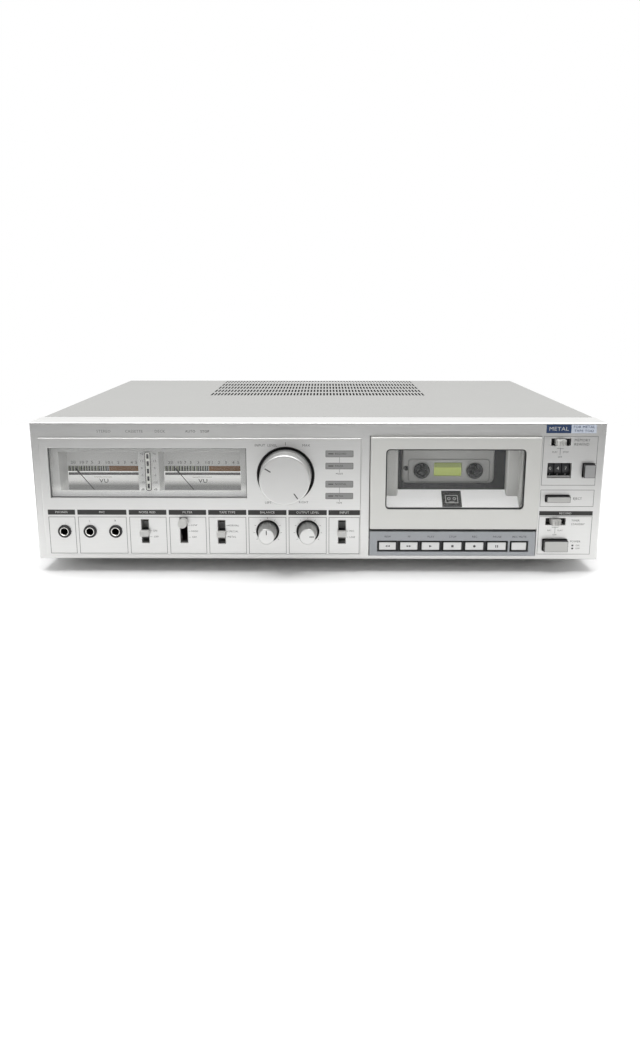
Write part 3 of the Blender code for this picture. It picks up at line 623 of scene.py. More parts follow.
row_pitch = (VENTS[3] - VENTS[2] + WEB) / ROWS
depths, open_rows = [WRAP + 0.3], []
for k in range(ROWS):
    open_rows.append(len(depths))
    depths += [VENTS[2] + k * row_pitch, VENTS[2] + (k + 1) * row_pitch - WEB]
depths.append(span("cabinet_cover")[3])
print("the grid has", len(edge), "by", len(depths), "points")

# %% Folded sheet
sheet = bmesh.new()
grid = [[sheet.verts.new(place(x, y, z)) for y in depths] for x, z in edge]
for i in range(len(edge) - 1):
    for j in range(len(depths) - 1):
        if not (i in open_columns and j in open_rows):
            sheet.faces.new((grid[i][j], grid[i + 1][j], grid[i + 1][j + 1], grid[i][j + 1]))
bmesh.ops.recalc_face_normals(sheet, faces=sheet.faces)
cover_mesh = bpy.data.meshes.new("cover")
sheet.to_mesh(cover_mesh)
sheet.free()
cover = bpy.data.objects.new("cover", cover_mesh)
bpy.context.scene.collection.objects.link(cover)
outward = next(face.normal.z for face in cover_mesh.polygons if abs(face.normal.z) > 0.9)
thick = cover.modifiers.new("sheet", "SOLIDIFY")
thick.thickness, thick.offset, thick.use_even_offset = SHEET / 1000, -1 if outward > 0 else 1, True
# The second coat, dark grey, goes on the inner side and the slot edges as painted shade.
thick.material_offset = thick.material_offset_rim = 1
for coat in (lacquer, dark_grey):
    cover_mesh.materials.append(coat)
settled(cover)
evenly_shaded(cover)
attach(cover, "deck")
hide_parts("cabinet_cover")
print("cover has", COLUMNS * ROWS, "slots")

# %% [markdown]
# ## Screws
# Pan-head screws hold the cover at the sides and the rear panel at its edge. Each head is a short
# turning, and a cross is cut from all of them at once.
# %% Pan-head screws
screws, crosses = [], []
HEAD = ((1.4, 0.0), (2.6, 0.35), (3.5, 1.0), (3.9, 1.9), (3.9, 2.4))
RISE, ARM, BLADE = 2.1, 2.1, 0.4
SIDE_SCREW_Z = 56.0
ARMS = ((ARM, BLADE), (BLADE, ARM))
for side in (-1, 1):
    reach = sorted((side * (HALF + 1.1), side * (HALF + 3.0)))
    for y in (58.0, 262.0):
        profile = [(r, side * (HALF + RISE - h)) for r, h in HEAD]
        screws.append(turning((y, SIDE_SCREW_Z), profile, 28, axis="x"))
        crosses += [block(*reach, y - dy, y + dy, SIDE_SCREW_Z - dz, SIDE_SCREW_Z + dz) for dy, dz in ARMS]
REAR = span("rear_panel")[3]
for x, z in ((-205, 96), (0, 99), (205, 96), (-205, 12), (205, 12), (60, 56), (140, 56)):
    screws.append(turning((x, z), [(r, REAR + RISE - h) for r, h in HEAD], 28))
    crosses += [block(x - dx, x + dx, REAR + 1.2, REAR + 3, z - dz, z + dz) for dx, dz in ARMS]
piece("cover_screws", "deck", screws, nickel, cut=crosses)

# %% [markdown]
# ## Feet
# The feet are moulded rubber with a flat base, a waist line and a counterbored hole for a screw.
# A turning from the hole outwards gives all of that in one profile.
# %% Four rubber feet
foot_profile = ((3.2, -5.0), (3.6, -10.0), (12.4, -10.3), (13.5, -9.9), (14.2, -8.9), (15.5, -3.4),
                (15.0, -2.9), (15.0, -2.2), (16.0, -1.7), (17.0, -1.2), (17.0, 0.0))
for name in ("front_left_foot", "front_right_foot", "rear_left_foot", "rear_right_foot"):
    x0, x1, y0, y1, _, _ = span(name)
    foot = turning(((x0 + x1) / 2, (y0 + y1) / 2), foot_profile, 56, axis="z")
    piece(name + "_moulding", "deck", [foot], rubber, stands_for=(name,))

# %% [markdown]
# ## Rear sockets
# Four line sockets sit on a black board behind the rear panel: a nickel shell, a coloured insert
# that tells left from right, and a hole for the pin.
# %% Line sockets
RIGHT_Z, LEFT_Z = 45.0, 67.0
END = span("line_jack_board")[3]
shell_profile = ((4.2, 300.2), (4.2, END - 0.3), (3.9, END), (3.3, END), (3.3, 300.2))
nut_profile = ((6.2, 308.4), (6.2, 309.2), (4.4, 309.2), (4.4, 308.4))
insert_profile = ((3.2, 300.3), (3.2, END - 0.8), (1.7, END - 0.8), (1.7, 300.3))
shells, inserts = [], {RIGHT_Z: [], LEFT_Z: []}
for x in (85.0, 115.0):
    for z in (RIGHT_Z, LEFT_Z):
        shells.append(turning((x, z), shell_profile, 48, bored=True))
        shells.append(turning((x, z), nut_profile, 6, bored=True))
        inserts[z].append(turning((x, z), insert_profile, 40, bored=True))
piece("line_socket_board", "deck", [block(72.0, 128.0, 296.0, 300.0, 36.0, 76.0)], dark_grey, bevel=0.3,
      stands_for=("line_jack_board",))
piece("line_socket_shells", "deck", shells, nickel)
piece("line_socket_inserts_left", "deck", inserts[LEFT_Z], white_plastic)
piece("line_socket_inserts_right", "deck", inserts[RIGHT_Z], ink_red)
rear_words = [words(text, x, z, 3.0, REAR, back=True) for text, x, z in (
    ("LINE IN", 85, 78.5), ("LINE OUT", 115, 78.5), ("LEFT", 135, 67), ("RIGHT", 135, 45),
    ("STEREO CASSETTE DECK", -60, 88), ("AC IN", -170, 43))]
rear_words.append(box_rule(66.0, 143.0, 34.0, 83.0, 0.6, REAR))
piece("rear_print", "deck", rear_words, ink_white)

# %% [markdown]
# ## Cassette door
# The door is a moulded frame with a satin silver paint. It is thin, so its front edge is rounded
# over in three small steps, and a dark gasket grips the clear pane. All of it rides on the door's
# body, so it swings with the hinge.
# %% Door frame, gasket and pane
DOOR = (40.1, 168.7, 25.5, 97.15)
PANE = (51.7, 157.2, 41.5, 88.2)


def drawn_in(sides, by):
    """An outline moved inwards on all four sides."""
    return (sides[0] + by, sides[1] - by, sides[2] + by, sides[3] - by)


piece("door_frame", "cassette_door",
      [slab(DOOR, ((-4.0, 0.9), (-3.85, 0.4), (-3.5, 0.12), (-3.0, 0.0), (2.5, 0.0)), 0.6, 3)],
      door_silver, cut=[slab(PANE, ((-9.0, 0.0), (9.0, 0.0)), 3.0, 8)], bevel=0.2,
      stands_for=("door_panel",))
piece("door_gasket", "cassette_door",
      [border(drawn_in(PANE, 0.1), drawn_in(PANE, 0.85), -3.8, -1.2, 2.9, 2.2, 8)], black, bevel=0.12)
piece("door_pane", "cassette_door",
      [slab(drawn_in(PANE, 0.95), ((-3.4, 0.15), (-3.25, 0.0), (-1.4, 0.0)), 2.1, 8)], acrylic,
      stands_for=("door_window",))

# %% [markdown]
# ## Sill under the door
# The door closes on a black strip that lies on the key strip's upper edge. It is what shows as the
# dark line below the door.
# %% Black sill
SILL = (40.4, 168.4, 23.2, 24.7)
piece("door_sill", "deck",
      [slab(SILL, ((0.2, 0.25), (0.35, 0.08), (0.6, 0.0), (3.6, 0.0)), 0.3, 3)], black, bevel=0.1)

# %% [markdown]
# ## Cassette holder
# Behind the door hangs the holder: two side rails that grip the shell of the tape, with rounded
# inner posts, and a white sloping cover below that hides the heads. The slope is a folded section
# carried along x.
# %% Rails, posts and slope
LEFT, RIGHT = 53.1, 155.5


def upright(section, z0, z1):
    """An (x, y) outline carried upwards."""
    return {"rings": [[(x, y, z) for x, y in section] for z in (z0, z1)]}


def rounded_post(wall, inward):
    """An (x, y) outline of a post on a side wall, with its free front corner rounded."""
    far, arc = wall + 9.2 * inward, []
    for a in range(0, 91, 15):
        arc.append((far - 1.6 * inward + 1.6 * inward * math.cos(math.radians(a)),
                    11.6 - 1.6 * math.sin(math.radians(a))))
    return [(wall - 0.8 * inward, 15.3), (far, 15.3), *arc, (wall - 0.8 * inward, 10.0)]


rails = []
for wall, inward in ((LEFT, 1), (RIGHT, -1)):
    side = sorted((wall - 1.6 * inward, wall))
    rails.append(folded(((2.8, 30.0), (8.0, 28.0), (29.6, 28.0), (29.6, 85.0), (2.8, 92.0)), *side))
    rails.append(upright(rounded_post(wall, inward), 31.0, 88.0))
    rails.append(block(*sorted((wall - 0.8 * inward, wall + 3.6 * inward)), 28.4, 29.6, 30.0, 62.0))
    rails.append(block(*sorted((wall - 0.8 * inward, wall + 11.0 * inward)), 14.6, 27.6, 28.0, 29.4))
piece("holder_rails", "cassette_door", rails[:1], pale_plastic, join=rails[1:4], bevel=0.2,
      stands_for=("cassette_holder",))
piece("holder_rails_right", "cassette_door", rails[4:5], pale_plastic, join=rails[5:], bevel=0.2)
SLOPE_FOOT, SLOPE_TOP = (2.8, 40.9), (13.8, 52.6)
slope = (SLOPE_FOOT, SLOPE_TOP, (15.2, 52.6), (15.2, 28.0), (13.8, 28.0), (13.8, 50.4), (2.8, 38.8))
piece("holder_slope", "cassette_door", [folded(slope, LEFT + 0.1, RIGHT - 0.1)], white_with_painted_glow, bevel=0.25)

# %% [markdown]
# ## Dark label on the slope
# A small dark label lies on the slope. It shows a plain pictogram of a cassette. The label is drawn
# facing the front, and each point is then tipped onto the slope.
# %% Tipped label
def on_slope(part):
    """A part drawn facing the front, tipped back so that it lies on the slope."""
    run, rise = 11.0 / 16.06, 11.7 / 16.06

    def tip(point):
        x, y, z = point
        return (x, SLOPE_FOOT[0] + z * run + y * rise, SLOPE_FOOT[1] + z * rise - y * run)
    if "faces" in part:
        return {"points": [tip(p) for p in part["points"]], "faces": part["faces"]}
    return {"rings": [[tip(p) for p in ring] for ring in part["rings"]], "closed": part.get("closed")}


label = [block(96.5, 111.7, -0.06, 0.02, 0.7, 15.3)]
picture = [border((99.2, 109.0, 4.2, 11.2), (99.7, 108.5, 4.7, 10.7), -0.1, -0.04)]
reel_sign = ((1.25, -0.1), (0.75, -0.1), (0.75, -0.04), (1.25, -0.04))
for x in (102.0, 106.2):
    picture.append(turning((x, 8.1), reel_sign, 20, bored=True))
picture.append(block(102.0, 106.2, -0.1, -0.04, 4.9, 5.5))
piece("slope_label", "cassette_door", [on_slope(part) for part in label], ink_bar,
      extras=(([on_slope(part) for part in picture], ink_light),))

# %% [markdown]
# ## Behind the tape
# The tape bears on a pale plate with an embossed field. In it are two dark reel hubs, a lit window
# that shines through the cassette, and a small sensing hole. The plate stands on a dark grey base,
# whose colour is painted shade: it gives the dark bands of shadow at the plate's sides and below it.
# %% Base plate and its holes
HUBS = {"supply_reel_hub": ("supply_reel", 83.05), "take_up_reel_hub": ("take_up_reel", 125.55)}
HUB_Z = 64.3
FACE_PLATE = (67.4, 141.2, 54.0, 98.0)
hub_hole = ((6.7, 27.0), (6.7, 33.0), (4.5, 33.0), (4.5, 40.0))
holes = [turning((x, HUB_Z), hub_hole, 48) for _, x in HUBS.values()]
holes.append(turning((129.3, 36.7), ((2.2, 30.0), (2.2, 40.0)), 24))
# The base's dark grey is painted shade for the shadow round the pale plate.
shade_dark_base = [block(41.0, 168.0, 34.3, 36.3, 6.0, 101.0)]
piece("transport_base_painted_shade", "deck", shade_dark_base, dark_grey, cut=holes,
      join=[turning((147.3, 25.8), ((1.5, 30.6), (1.5, 35.3)), 20)], bevel=0.15,
      stands_for=("transport_plate",))

# %% Pale face, plug and lamp
piece("transport_face", "deck",
      [slab(FACE_PLATE, ((31.0, 1.4), (31.15, 0.8), (31.6, 0.2), (32.2, 0.0), (34.2, 0.0)), 4.0, 6)],
      pale_plastic,
      join=[slab((72.5, 137.1, 55.4, 73.4), ((30.5, 0.5), (30.6, 0.15), (30.9, 0.0), (31.6, 0.0)), 2.6, 6)],
      cut=holes[:2] + [block(92.7, 115.1, 28.0, 32.0, 59.7, 70.9),
                       turning((70.6, 66.0), ((2.1, 29.0), (2.1, 38.0)), 28)], bevel=0.12,
      extras=(([border((72.1, 137.5, 55.0, 73.8), (72.4, 137.2, 55.3, 73.5), 30.96, 31.05, 2.9, 2.6)],
               ink_grey),))
plug = ((0.6, 31.6), (1.6, 31.4), (2.0, 31.5), (2.0, 32.4), (0.6, 32.4))
piece("sensing_hole_plug", "deck", [turning((70.6, 66.0), plug, 28, bored=True)], black)
piece("tape_lamp", "deck",
      [slab((93.0, 114.8, 60.0, 70.6), ((30.7, 0.25), (30.8, 0.05), (31.0, 0.0), (31.7, 0.0)), 0.8, 3)],
      lamp_green, stands_for=("tape_light_window",))

# %% [markdown]
# ## Reel hubs
# A hub is a stepped spindle with three fins that catch the teeth of the reel. The collar at its
# foot is what shows as a dark disc.
# %% Hubs
spindle = ((1.0, 21.2), (2.3, 21.6), (3.2, 23.0), (3.3, 28.4), (5.9, 28.4), (6.3, 28.8),
           (6.3, 30.1), (4.0, 30.1), (4.0, 36.7), (13.0, 36.7), (13.0, 39.7))
for node, (body, x) in HUBS.items():
    fins = [stripe((x, HUB_Z), angle, 1.5, 4.8, 1.2, 23.4, 29.2) for angle in (90, 210, 330)]
    piece(node + "_spindle", body, [turning((x, HUB_Z), spindle, 56)], black, join=fins, bevel=0.12,
          stands_for=(node,), centre=(x, 36, HUB_Z))

# %% [markdown]
# ## Key strip
# The keys stand in a shallow trench in a blue-grey strip. The trench floor is dark, so each key
# seems drawn with a black line.
# %% Strip and trench
KEYS = {"rewind_key": "REW", "fast_forward_key": "FF", "play_key": "PLAY", "stop_key": "STOP",
        "record_key": "REC", "pause_key": "PAUSE", "record_mute_key": "REC MUTE"}
STRIP = (40.2, 168.6, 3.5, 23.1)
KEY_LOW, KEY_HIGH = 7.4, 14.9
key_sides = {name: (span(name)[0], span(name)[1], KEY_LOW, KEY_HIGH) for name in KEYS}
TRENCHES = ((46.2, 147.5, 6.7, 15.6), (148.9, 163.2, 6.7, 15.6))
trenches = [slab(sides, ((-5.0, 0.0), (0.6, 0.0)), 0.4, 3) for sides in TRENCHES]
shafts = [block(x0 - 0.4, x1 + 0.4, -6.0, 9.0, z0 - 0.4, z1 + 0.4)
          for x0, x1, z0, z1 in key_sides.values()]
piece("key_strip", "deck", [slab(STRIP, ((-1.2, 0.35), (-1.1, 0.1), (-0.8, 0.0), (4.3, 0.0)))], strip_paint,
      cut=trenches + shafts, bevel=0.12, stands_for=("key_bezel",))
floors = [slab(drawn_in(sides, 0.1), ((0.45, 0.0), (0.75, 0.0))) for sides in TRENCHES]
piece("key_trench_floor", "deck", floors[:1], dark_grey, join=floors[1:], cut=shafts)

# %% [markdown]
# ## Transport keys
# A key is a black moulding that slides in its shaft, with a bright cap let into its face and a
# small printed sign. The signs are the usual arrows, square, disc and bars.
# %% Signs
def prism(points, y0, y1):
    """An (x, z) outline carried from front to back."""
    return {"rings": [[(x, y, z) for x, z in points] for y in (y0, y1)]}


def sign(kind, x, z, y):
    """A printed transport sign about 2 mm wide."""
    y0, y1, s = y - INK, y + INK, 0.85
    right = [(-s, -s), (s, 0.0), (-s, s)]
    left = [(-px, pz) for px, pz in right]
    if kind == "REW":
        return [prism([(x + o + px, z + pz) for px, pz in left], y0, y1) for o in (-0.9, 0.9)]
    if kind == "FF":
        return [prism([(x + o + px, z + pz) for px, pz in right], y0, y1) for o in (-0.9, 0.9)]
    if kind == "PLAY":
        return [prism([(x + 1.3 * px, z + 1.15 * pz) for px, pz in right], y0, y1)]
    if kind == "STOP":
        return [block(x - 0.9, x + 0.9, y0, y1, z - 0.9, z + 0.9)]
    if kind == "REC":
        return [turning((x, z), ((1.0, y0), (1.0, y1)), 20)]
    if kind == "PAUSE":
        return [block(x + o - 0.35, x + o + 0.35, y0, y1, z - 1.0, z + 1.0) for o in (-0.7, 0.7)]
    return []


print("signs on", sum(bool(sign(kind, 0, 0, 0)) for kind in KEYS.values()), "of", len(KEYS), "keys")

# %% Seven keys
for name, kind in KEYS.items():
    x0, x1, z0, z1 = key_sides[name]
    middle, back = (x0 + x1) / 2, span(name)[3]
    cap = slab((x0 + 0.75, x1 - 0.75, z0 + 0.7, z1 - 0.7),
               ((-1.0, 0.35), (-0.93, 0.15), (-0.75, 0.0), (-0.3, 0.0)), 0.35, 3)
    marks = sign(kind, middle, (z0 + z1) / 2, -1.0)
    piece(name + "_cap", name + "_body", [slab((x0, x1, z0, z1), ((-0.7, 0.2), (-0.5, 0.0), (8.8, 0.0)))],
          black, join=[block(x0 + 0.6, x1 - 0.6, 7.0, 8.6, z0 - 1.6, z1 + 1.6),
                       block(middle - 2.0, middle + 2.0, 8.0, back, 9.1, 13.1)],
          extras=(([cap], cap_metal),) + (((marks, ink_dark),) if marks else ()), stands_for=(name,))

# %% [markdown]
# ## Push buttons
# Eject, power and counter reset are black plungers with a thin metal face. Seen from the middle of
# the deck their black flanks show beside and above the bright face.
# %% Three buttons
for name in BUTTONS:
    sides, front = button_sides(name), span(name)[2]
    face = slab(drawn_in(sides, 0.3),
                ((front, 0.3), (front + 0.05, 0.12), (front + 0.15, 0.0), (front + 0.5, 0.0)), 0.3, 3)
    stem = slab(sides, ((front + 0.3, 0.3), (front + 0.45, 0.0), (12.0, 0.0)))
    collar = slab(drawn_in(sides, -COLLAR), ((4.9, 0.0), (6.4, 0.0)))
    plate = reset_grey if name == "counter_reset_button" else button_metal
    piece(name + "_plunger", name + "_body", [stem], black, join=[collar],
          extras=(([face], plate),), stands_for=(name,))

# %% [markdown]
# ## Slide switches
# The memory and timer switches are ribbed tabs in dark slots. The rib grooves are cut across the
# tab, and a black shutter behind it closes the slot wherever the tab stands.
# %% Two ribbed tabs
for name, x, z in (("memory_switch_lever", 183.1, 93.0), ("timer_switch_lever", 183.3, 30.85)):
    grooves = [block(x + k * 1.2 - 0.3, x + k * 1.2 + 0.3, -7.0, -3.7, z - 5.0, z + 5.0)
               for k in range(-1, 3)]
    piece(name + "_tab", name + "_body",
          [slab((x - 3.3, x + 3.3, z - 2.3, z + 2.3), ((-4.6, 0.4), (-4.45, 0.15), (-4.2, 0.0), (5.0, 0.0)))],
          pale_plastic, cut=grooves, bevel=0.08,
          extras=(([block(x - 9.0, x + 9.0, 4.9, 6.2, z - 4.2, z + 4.2)], black),), stands_for=(name,))

# %% [markdown]
# ## Lever switches
# Four small levers stand in upright slots in the lower row. Three have a square bright cap and one
# a round one. Grey shutters move with them behind the panel.
# %% Four levers
LEVER_REST = {"filter_lever": 30.6, "noise_reduction_lever": 22.2, "tape_type_lever": 21.6,
              "input_select_lever": 22.0}
for name, (x, low, high) in LEVERS.items():
    box, z = span(name), LEVER_REST[name]
    if name == "filter_lever":
        cap = [turning((x, z), ((1.9, -9.0), (2.8, -8.85), (3.35, -8.4), (3.5, -7.6), (3.5, -2.3)), 40)]
    else:
        cap = [slab((x - 3.3, x + 3.3, z - 2.1, z + 2.1),
                    ((-7.2, 0.5), (-7.05, 0.2), (-6.7, 0.0), (-2.3, 0.0)), 0.4, 3)]
    shutter = [block(x - 4.4, x + 4.4, 4.9, 6.4, box[4], box[5])]
    piece(name + "_cap", name + "_body", [block(x - 2.2, x + 2.2, -5.0, 12.0, z - 1.9, z + 1.9)], black,
          extras=((cap, pale_plastic), (shutter, well_grey)), stands_for=(name,))
slot_rims = [border((x - 3.1, x + 3.1, z0 - 0.4, z1 + 0.4), (x - 2.7, x + 2.7, z0, z1),
                    -RAISED - 0.12, -RAISED + 0.1) for x, z0, z1 in LEVERS.values()]
piece("switch_slot_rims", "deck", slot_rims, well_grey)

# %% [markdown]
# ## Front sockets
# Each socket has a black moulded nut, a nickel ring inside it and a deep dark bore, with its body
# behind the panel.
# %% Phones and microphone sockets
ring = ((3.35, -3.3), (3.35, -2.2), (2.7, -2.2), (2.7, -3.05), (2.9, -3.3))
nut = ((3.7, -3.2), (4.7, -3.15), (5.0, -2.8), (5.0, -2.05), (4.0, -2.05), (4.0, 6.0))
bore = ((3.4, -9.0), (3.4, -2.15), (2.7, -2.15), (2.7, 21.0))
for name, x in JACKS.items():
    piece(name + "_nut", "deck", [turning((x, JACK_Z), nut, 56)], black,
          join=[block(x - 6.5, x + 6.5, 4.3, 24.0, JACK_Z - 6.5, JACK_Z + 6.5)],
          cut=[turning((x, JACK_Z), bore, 48)],
          extras=(([turning((x, JACK_Z), ring, 48, bored=True)], nickel),), stands_for=(name,))

# %% [markdown]
# ## Knobs
# The level knobs are turned from solid aluminium: a slightly tapered skirt, an eased rim and a flat
# spun face with ink-filled marks. The two small ones have a fluted grip, made by letting every
# second point of a ring sit a little deeper.
# %% Fluted grip
def fluted(centre, profile, teeth, depth):
    """A turning whose radius steps in and out round the rim. profile lists (radius, y, share)."""
    rings = []
    for radius, y, share in profile:
        ring = []
        for k in range(4 * teeth):
            angle = 2 * math.pi * k / (4 * teeth)
            r = radius - (depth * share if k % 4 in (0, 1) else 0.0)
            ring.append((centre[0] + r * math.cos(angle), y, centre[1] + r * math.sin(angle)))
        rings.append(ring)
    return {"rings": rings}


print("a fluted ring of 36 teeth has", len(fluted((0, 0), ((1, 0, 0),), 36, 0.1)["rings"][0]), "points")

# %% Large and small knobs
shaft = ((3.1, 4.6), (3.1, 9.6), (6.0, 9.6), (6.0, 11.0), (3.1, 11.0), (3.1, 18.0))
x, z, _ = KNOBS["input_level_knob"]
front = span("input_level_knob")[2]
skirt = ((17.5, front + 0.05), (17.9, front), (18.35, front + 0.12), (18.75, front + 0.5),
         (18.9, front + 1.1), (20.0, 4.6), *shaft)
pointers = [stripe((x, z), angle, 12.0, 17.0, 0.8, front - 0.02, front + 0.5) for angle in (148.0, -55.0)]
piece("input_level_knob_body_turned", "input_level_knob_body", [turning((x, z), skirt, 120)], knob_metal,
      extras=((pointers, ink_dark),), stands_for=("input_level_knob",), centre=(x, 0, z))
for name, pointer in (("balance_knob", 90.0), ("output_level_knob", 0.0)):
    x, z, _ = KNOBS[name]
    front = span(name)[2]
    grip = fluted((x, z), ((5.2, front, 0), (5.7, front + 0.1, 0), (6.1, front + 0.6, 0),
                           (6.2, front + 1.6, 1), (7.5, -1.8, 1), (7.7, -1.0, 0), (7.7, 4.6, 0)), 36, 0.35)
    stem = turning((x, z), [(min(r, 5.0), y) for r, y in shaft[:-1]] + [(3.1, 18.0)], 40)
    stem["rings"].insert(0, turning((x, z), ((3.1, 4.5),), 40)["rings"][0])
    piece(name + "_turned", name + "_body", [grip], knob_metal, join=[stem],
          extras=(([stripe((x, z), pointer, 1.4, 4.9, 0.7, front - 0.02, front + 0.4)], ink_dark),),
          stands_for=(name,), centre=(x, 0, z))

# %% [markdown]
# ## Meters
# Both needle meters share one white moulding behind a single pane. Through two mouths you look at
# cards with printed scales: a grey upper part, a colour band and a pale lower part. The card's grey
# is a ramp over its height: painted shade greys the upper part and darkens its foot, and a painted
# glow lifts the whole card. The moulding's grey is painted light and shade as well, pale low down
# and darker above, with a fainter painted glow. The numbers and ticks are printed film.
# %% Housing, cards and pane
MOUTHS = ((-198.7, -137.8), (-122.0, -59.1))
CARD = 23.7


def banded(name, low, high, stops, glow):
    """A matt meter finish whose grey changes with height: painted light and shade, and a painted glow
    of the same grey. stops lists (share of height, grey). It is neutral at the bottom and a little
    warmer above."""
    colours = [(share, (grey, grey, grey * (0.98 if share else 1.0))) for share, grey in stops]
    return shaded_by_height(finish(name, "meter_face", (0.6, 0.6, 0.6), 0.6, relief=0.02),
                            low, high, colours, glow)


# Painted shade: the card is darkened at its foot and greyed above the band, and a painted glow brightens it.
card_painted_shade = banded("meter card with painted shade and glow", 38.6, 88.9,
                    ((0.0, 0.22), (0.29, 0.27), (0.38, 0.84), (0.52, 0.92), (0.53, 0.43), (1.0, 0.34)), 0.35)
# Painted light and shade: the moulding is pale low down and darker towards the top, with a faint painted
# glow.
moulding_painted_light = banded("meter moulding with painted light and glow", 49.6, 88.4,
                        ((0.0, 0.86), (0.12, 0.86), (0.26, 0.52), (0.8, 0.46), (1.0, 0.36)), 0.12)
housing_cut = [block(x0, x1, 2.0, 10.0, 53.8, 84.3) for x0, x1 in MOUTHS]
housing_cut += [block(x0, x1, 7.0, 24.0, 38.5, 89.0) for x0, x1 in MOUTHS]
piece("meter_moulding", "deck", [block(-207.5, -51.0, 4.6, 30.0, 36.5, 92.0)], moulding_painted_light,
      cut=housing_cut, bevel=0.25, stands_for=("meter_housing",))
cards = [block(x0 + 0.1, x1 - 0.1, CARD, 23.95, 38.6, 88.9) for x0, x1 in MOUTHS]
piece("meter_cards", "deck", cards, card_painted_shade)
piece("meter_pane_seal", "deck",
      [border(drawn_in(METER_OPENING, 0.1), drawn_in(METER_OPENING, 0.5), 0.0, 0.5)], dark_grey, bevel=0.08)
piece("meter_pane", "deck", [slab(drawn_in(METER_OPENING, 0.3), ((0.6, 0.0), (2.6, 0.0)))], acrylic,
      stands_for=("meter_window",))

# %% [markdown]
# ## Scales
# The scale numbers run from twenty below to five above. The first part of the band is grey-green
# with black ticks that crowd towards zero, and the rest is brown-orange. Each ink is one piece, as
# each was one pass of the printer.
# %% Printed scales
NUMBERS = (("20", 0.075), ("10", 0.195), ("7", 0.27), ("5", 0.345), ("3", 0.445), ("1", 0.545), ("0", 0.585),
           ("1", 0.63), ("2", 0.72), ("3", 0.81), ("4", 0.91), ("5", 0.975))
TICKS = (0.03, 0.075, 0.13, 0.195, 0.235, 0.27, 0.305, 0.345, 0.395, 0.445, 0.475, 0.51, 0.545, 0.57)
dark_marks, pale_marks, green_bands, orange_bands, strips = [], [], [], [], []
for x0, x1 in ((-198.1, -142.4), (-121.2, -61.5)):
    wide = x1 - x0
    for text, share in NUMBERS:
        dark_marks.append(words(text, x0 + share * wide, 72.0, 2.3, CARD, wide=1.2))
    for share in TICKS:
        at = x0 + share * wide
        dark_marks.append(block(at - 0.55, at + 0.25, CARD - 0.09, CARD, 65.1, 69.2))
        pale_marks.append(block(at + 0.3, at + 0.8, CARD - 0.09, CARD, 65.3, 69.0))
    dark_marks.append(words("VU", x0 + 0.5 * wide, 57.0, 3.3, CARD, wide=1.2))
    dark_marks.append(block(x0 + 0.36 * wide, x0 + 0.62 * wide, CARD - INK, CARD, 60.1, 60.35))
    split = x0 + 0.575 * wide
    green_bands.append(block(x0, split, CARD - 0.05, CARD + 0.05, 65.0, 69.3))
    orange_bands.append(block(split + 0.02, x1, CARD - 0.05, CARD + 0.05, 65.0, 69.3))
    strips.append(block(x0, x1, CARD - 0.05, CARD + 0.05, 61.9, 64.0))
piece("meter_scale_marks", "deck", dark_marks, ink_dark)
piece("meter_pale_marks", "deck", pale_marks, ink_light)
piece("meter_green_bands", "deck", green_bands, ink_green)
piece("meter_orange_bands", "deck", orange_bands, ink_orange)
piece("meter_grey_strips", "deck", strips, ink_grey)

# %% [markdown]
# ## Level lamps
# Peak levels show on five lamps in a rounded column between the meters. The lamps are small dark
# lenses let into a pale moulding, with the decibels printed on both sides.
# %% Column of five lamps
column = (-132.3, -127.9, 53.9, 84.4)
lamps = [slab((-130.9, -129.3, z - 1.8, z + 1.8), ((3.2, 0.2), (3.35, 0.0), (4.0, 0.0)), 0.3, 3)
         for z in (57.7, 63.6, 69.5, 75.4, 81.0)]
piece("level_lamp_column", "deck", [slab(column, ((3.5, 0.3), (3.65, 0.05), (3.8, 0.0), (4.5, 0.0)), 1.6, 6)],
      frame_white,
      extras=((lamps + [border(column, drawn_in(column, 0.45), 3.42, 3.7, 1.6, 1.2)], dark_grey),),
      stands_for=("peak_lamp_column",))
column_words = []
for k, (left, right) in enumerate((("dB", "dB"), ("-10", "-10"), ("-5", "-5"), ("0", "0"), ("+3", "+3"),
                                   ("+6", "+6"))):
    column_words.append(words(left, -135.0, 54.7 + 5.6 * k, 1.7, 4.6))
    column_words.append(words(right, -125.1, 54.7 + 5.6 * k, 1.7, 4.6))
piece("level_lamp_print", "deck", column_words, ink_dark)

# %% [markdown]
# ## Needles
# A needle is a thin blade on a small bearing. It tapers to its tip, and its origin lies on the
# pivot, so the joint swings it.
# %% Two pointers
for name, x, z in (("left_meter_needle", -170.3, 41.8), ("right_meter_needle", -91.4, 42.0)):
    blade = stripe((x, z), 129.0, 2.0, 33.4, 0.45, 20.5, 20.9)
    tip = stripe((x, z), 129.0, 29.0, 33.2, 1.1, 20.45, 20.95)
    piece(name + "_pointer", name + "_body",
          [turning((x, z), ((1.3, 20.0), (3.0, 20.0), (3.0, 21.4), (1.3, 21.4)), 32, bored=True)], ink_dark,
          join=[blade, tip], stands_for=(name,), centre=(x, 20.7, z))
    print(name, "swings about", x, z)

# %% [markdown]
# ## Counter wheels
# The tape counter has three black drums with white figures. Each figure is drawn at the front of
# its drum and turned round the drum's axis by its tenth of a turn. A grey lip closes the window
# below the drums.
# %% Three number drums
AXIS = (13.1, 70.6)
DRUM = 8.5


def round_drum(part, degrees):
    """A part turned about the drums' common axis."""
    turn, points = math.radians(degrees), []
    for x, y, z in part["points"]:
        dy, dz = y - AXIS[0], z - AXIS[1]
        points.append((x, AXIS[0] + dy * math.cos(turn) - dz * math.sin(turn),
                       AXIS[1] + dy * math.sin(turn) + dz * math.cos(turn)))
    return {"points": points, "faces": part["faces"]}


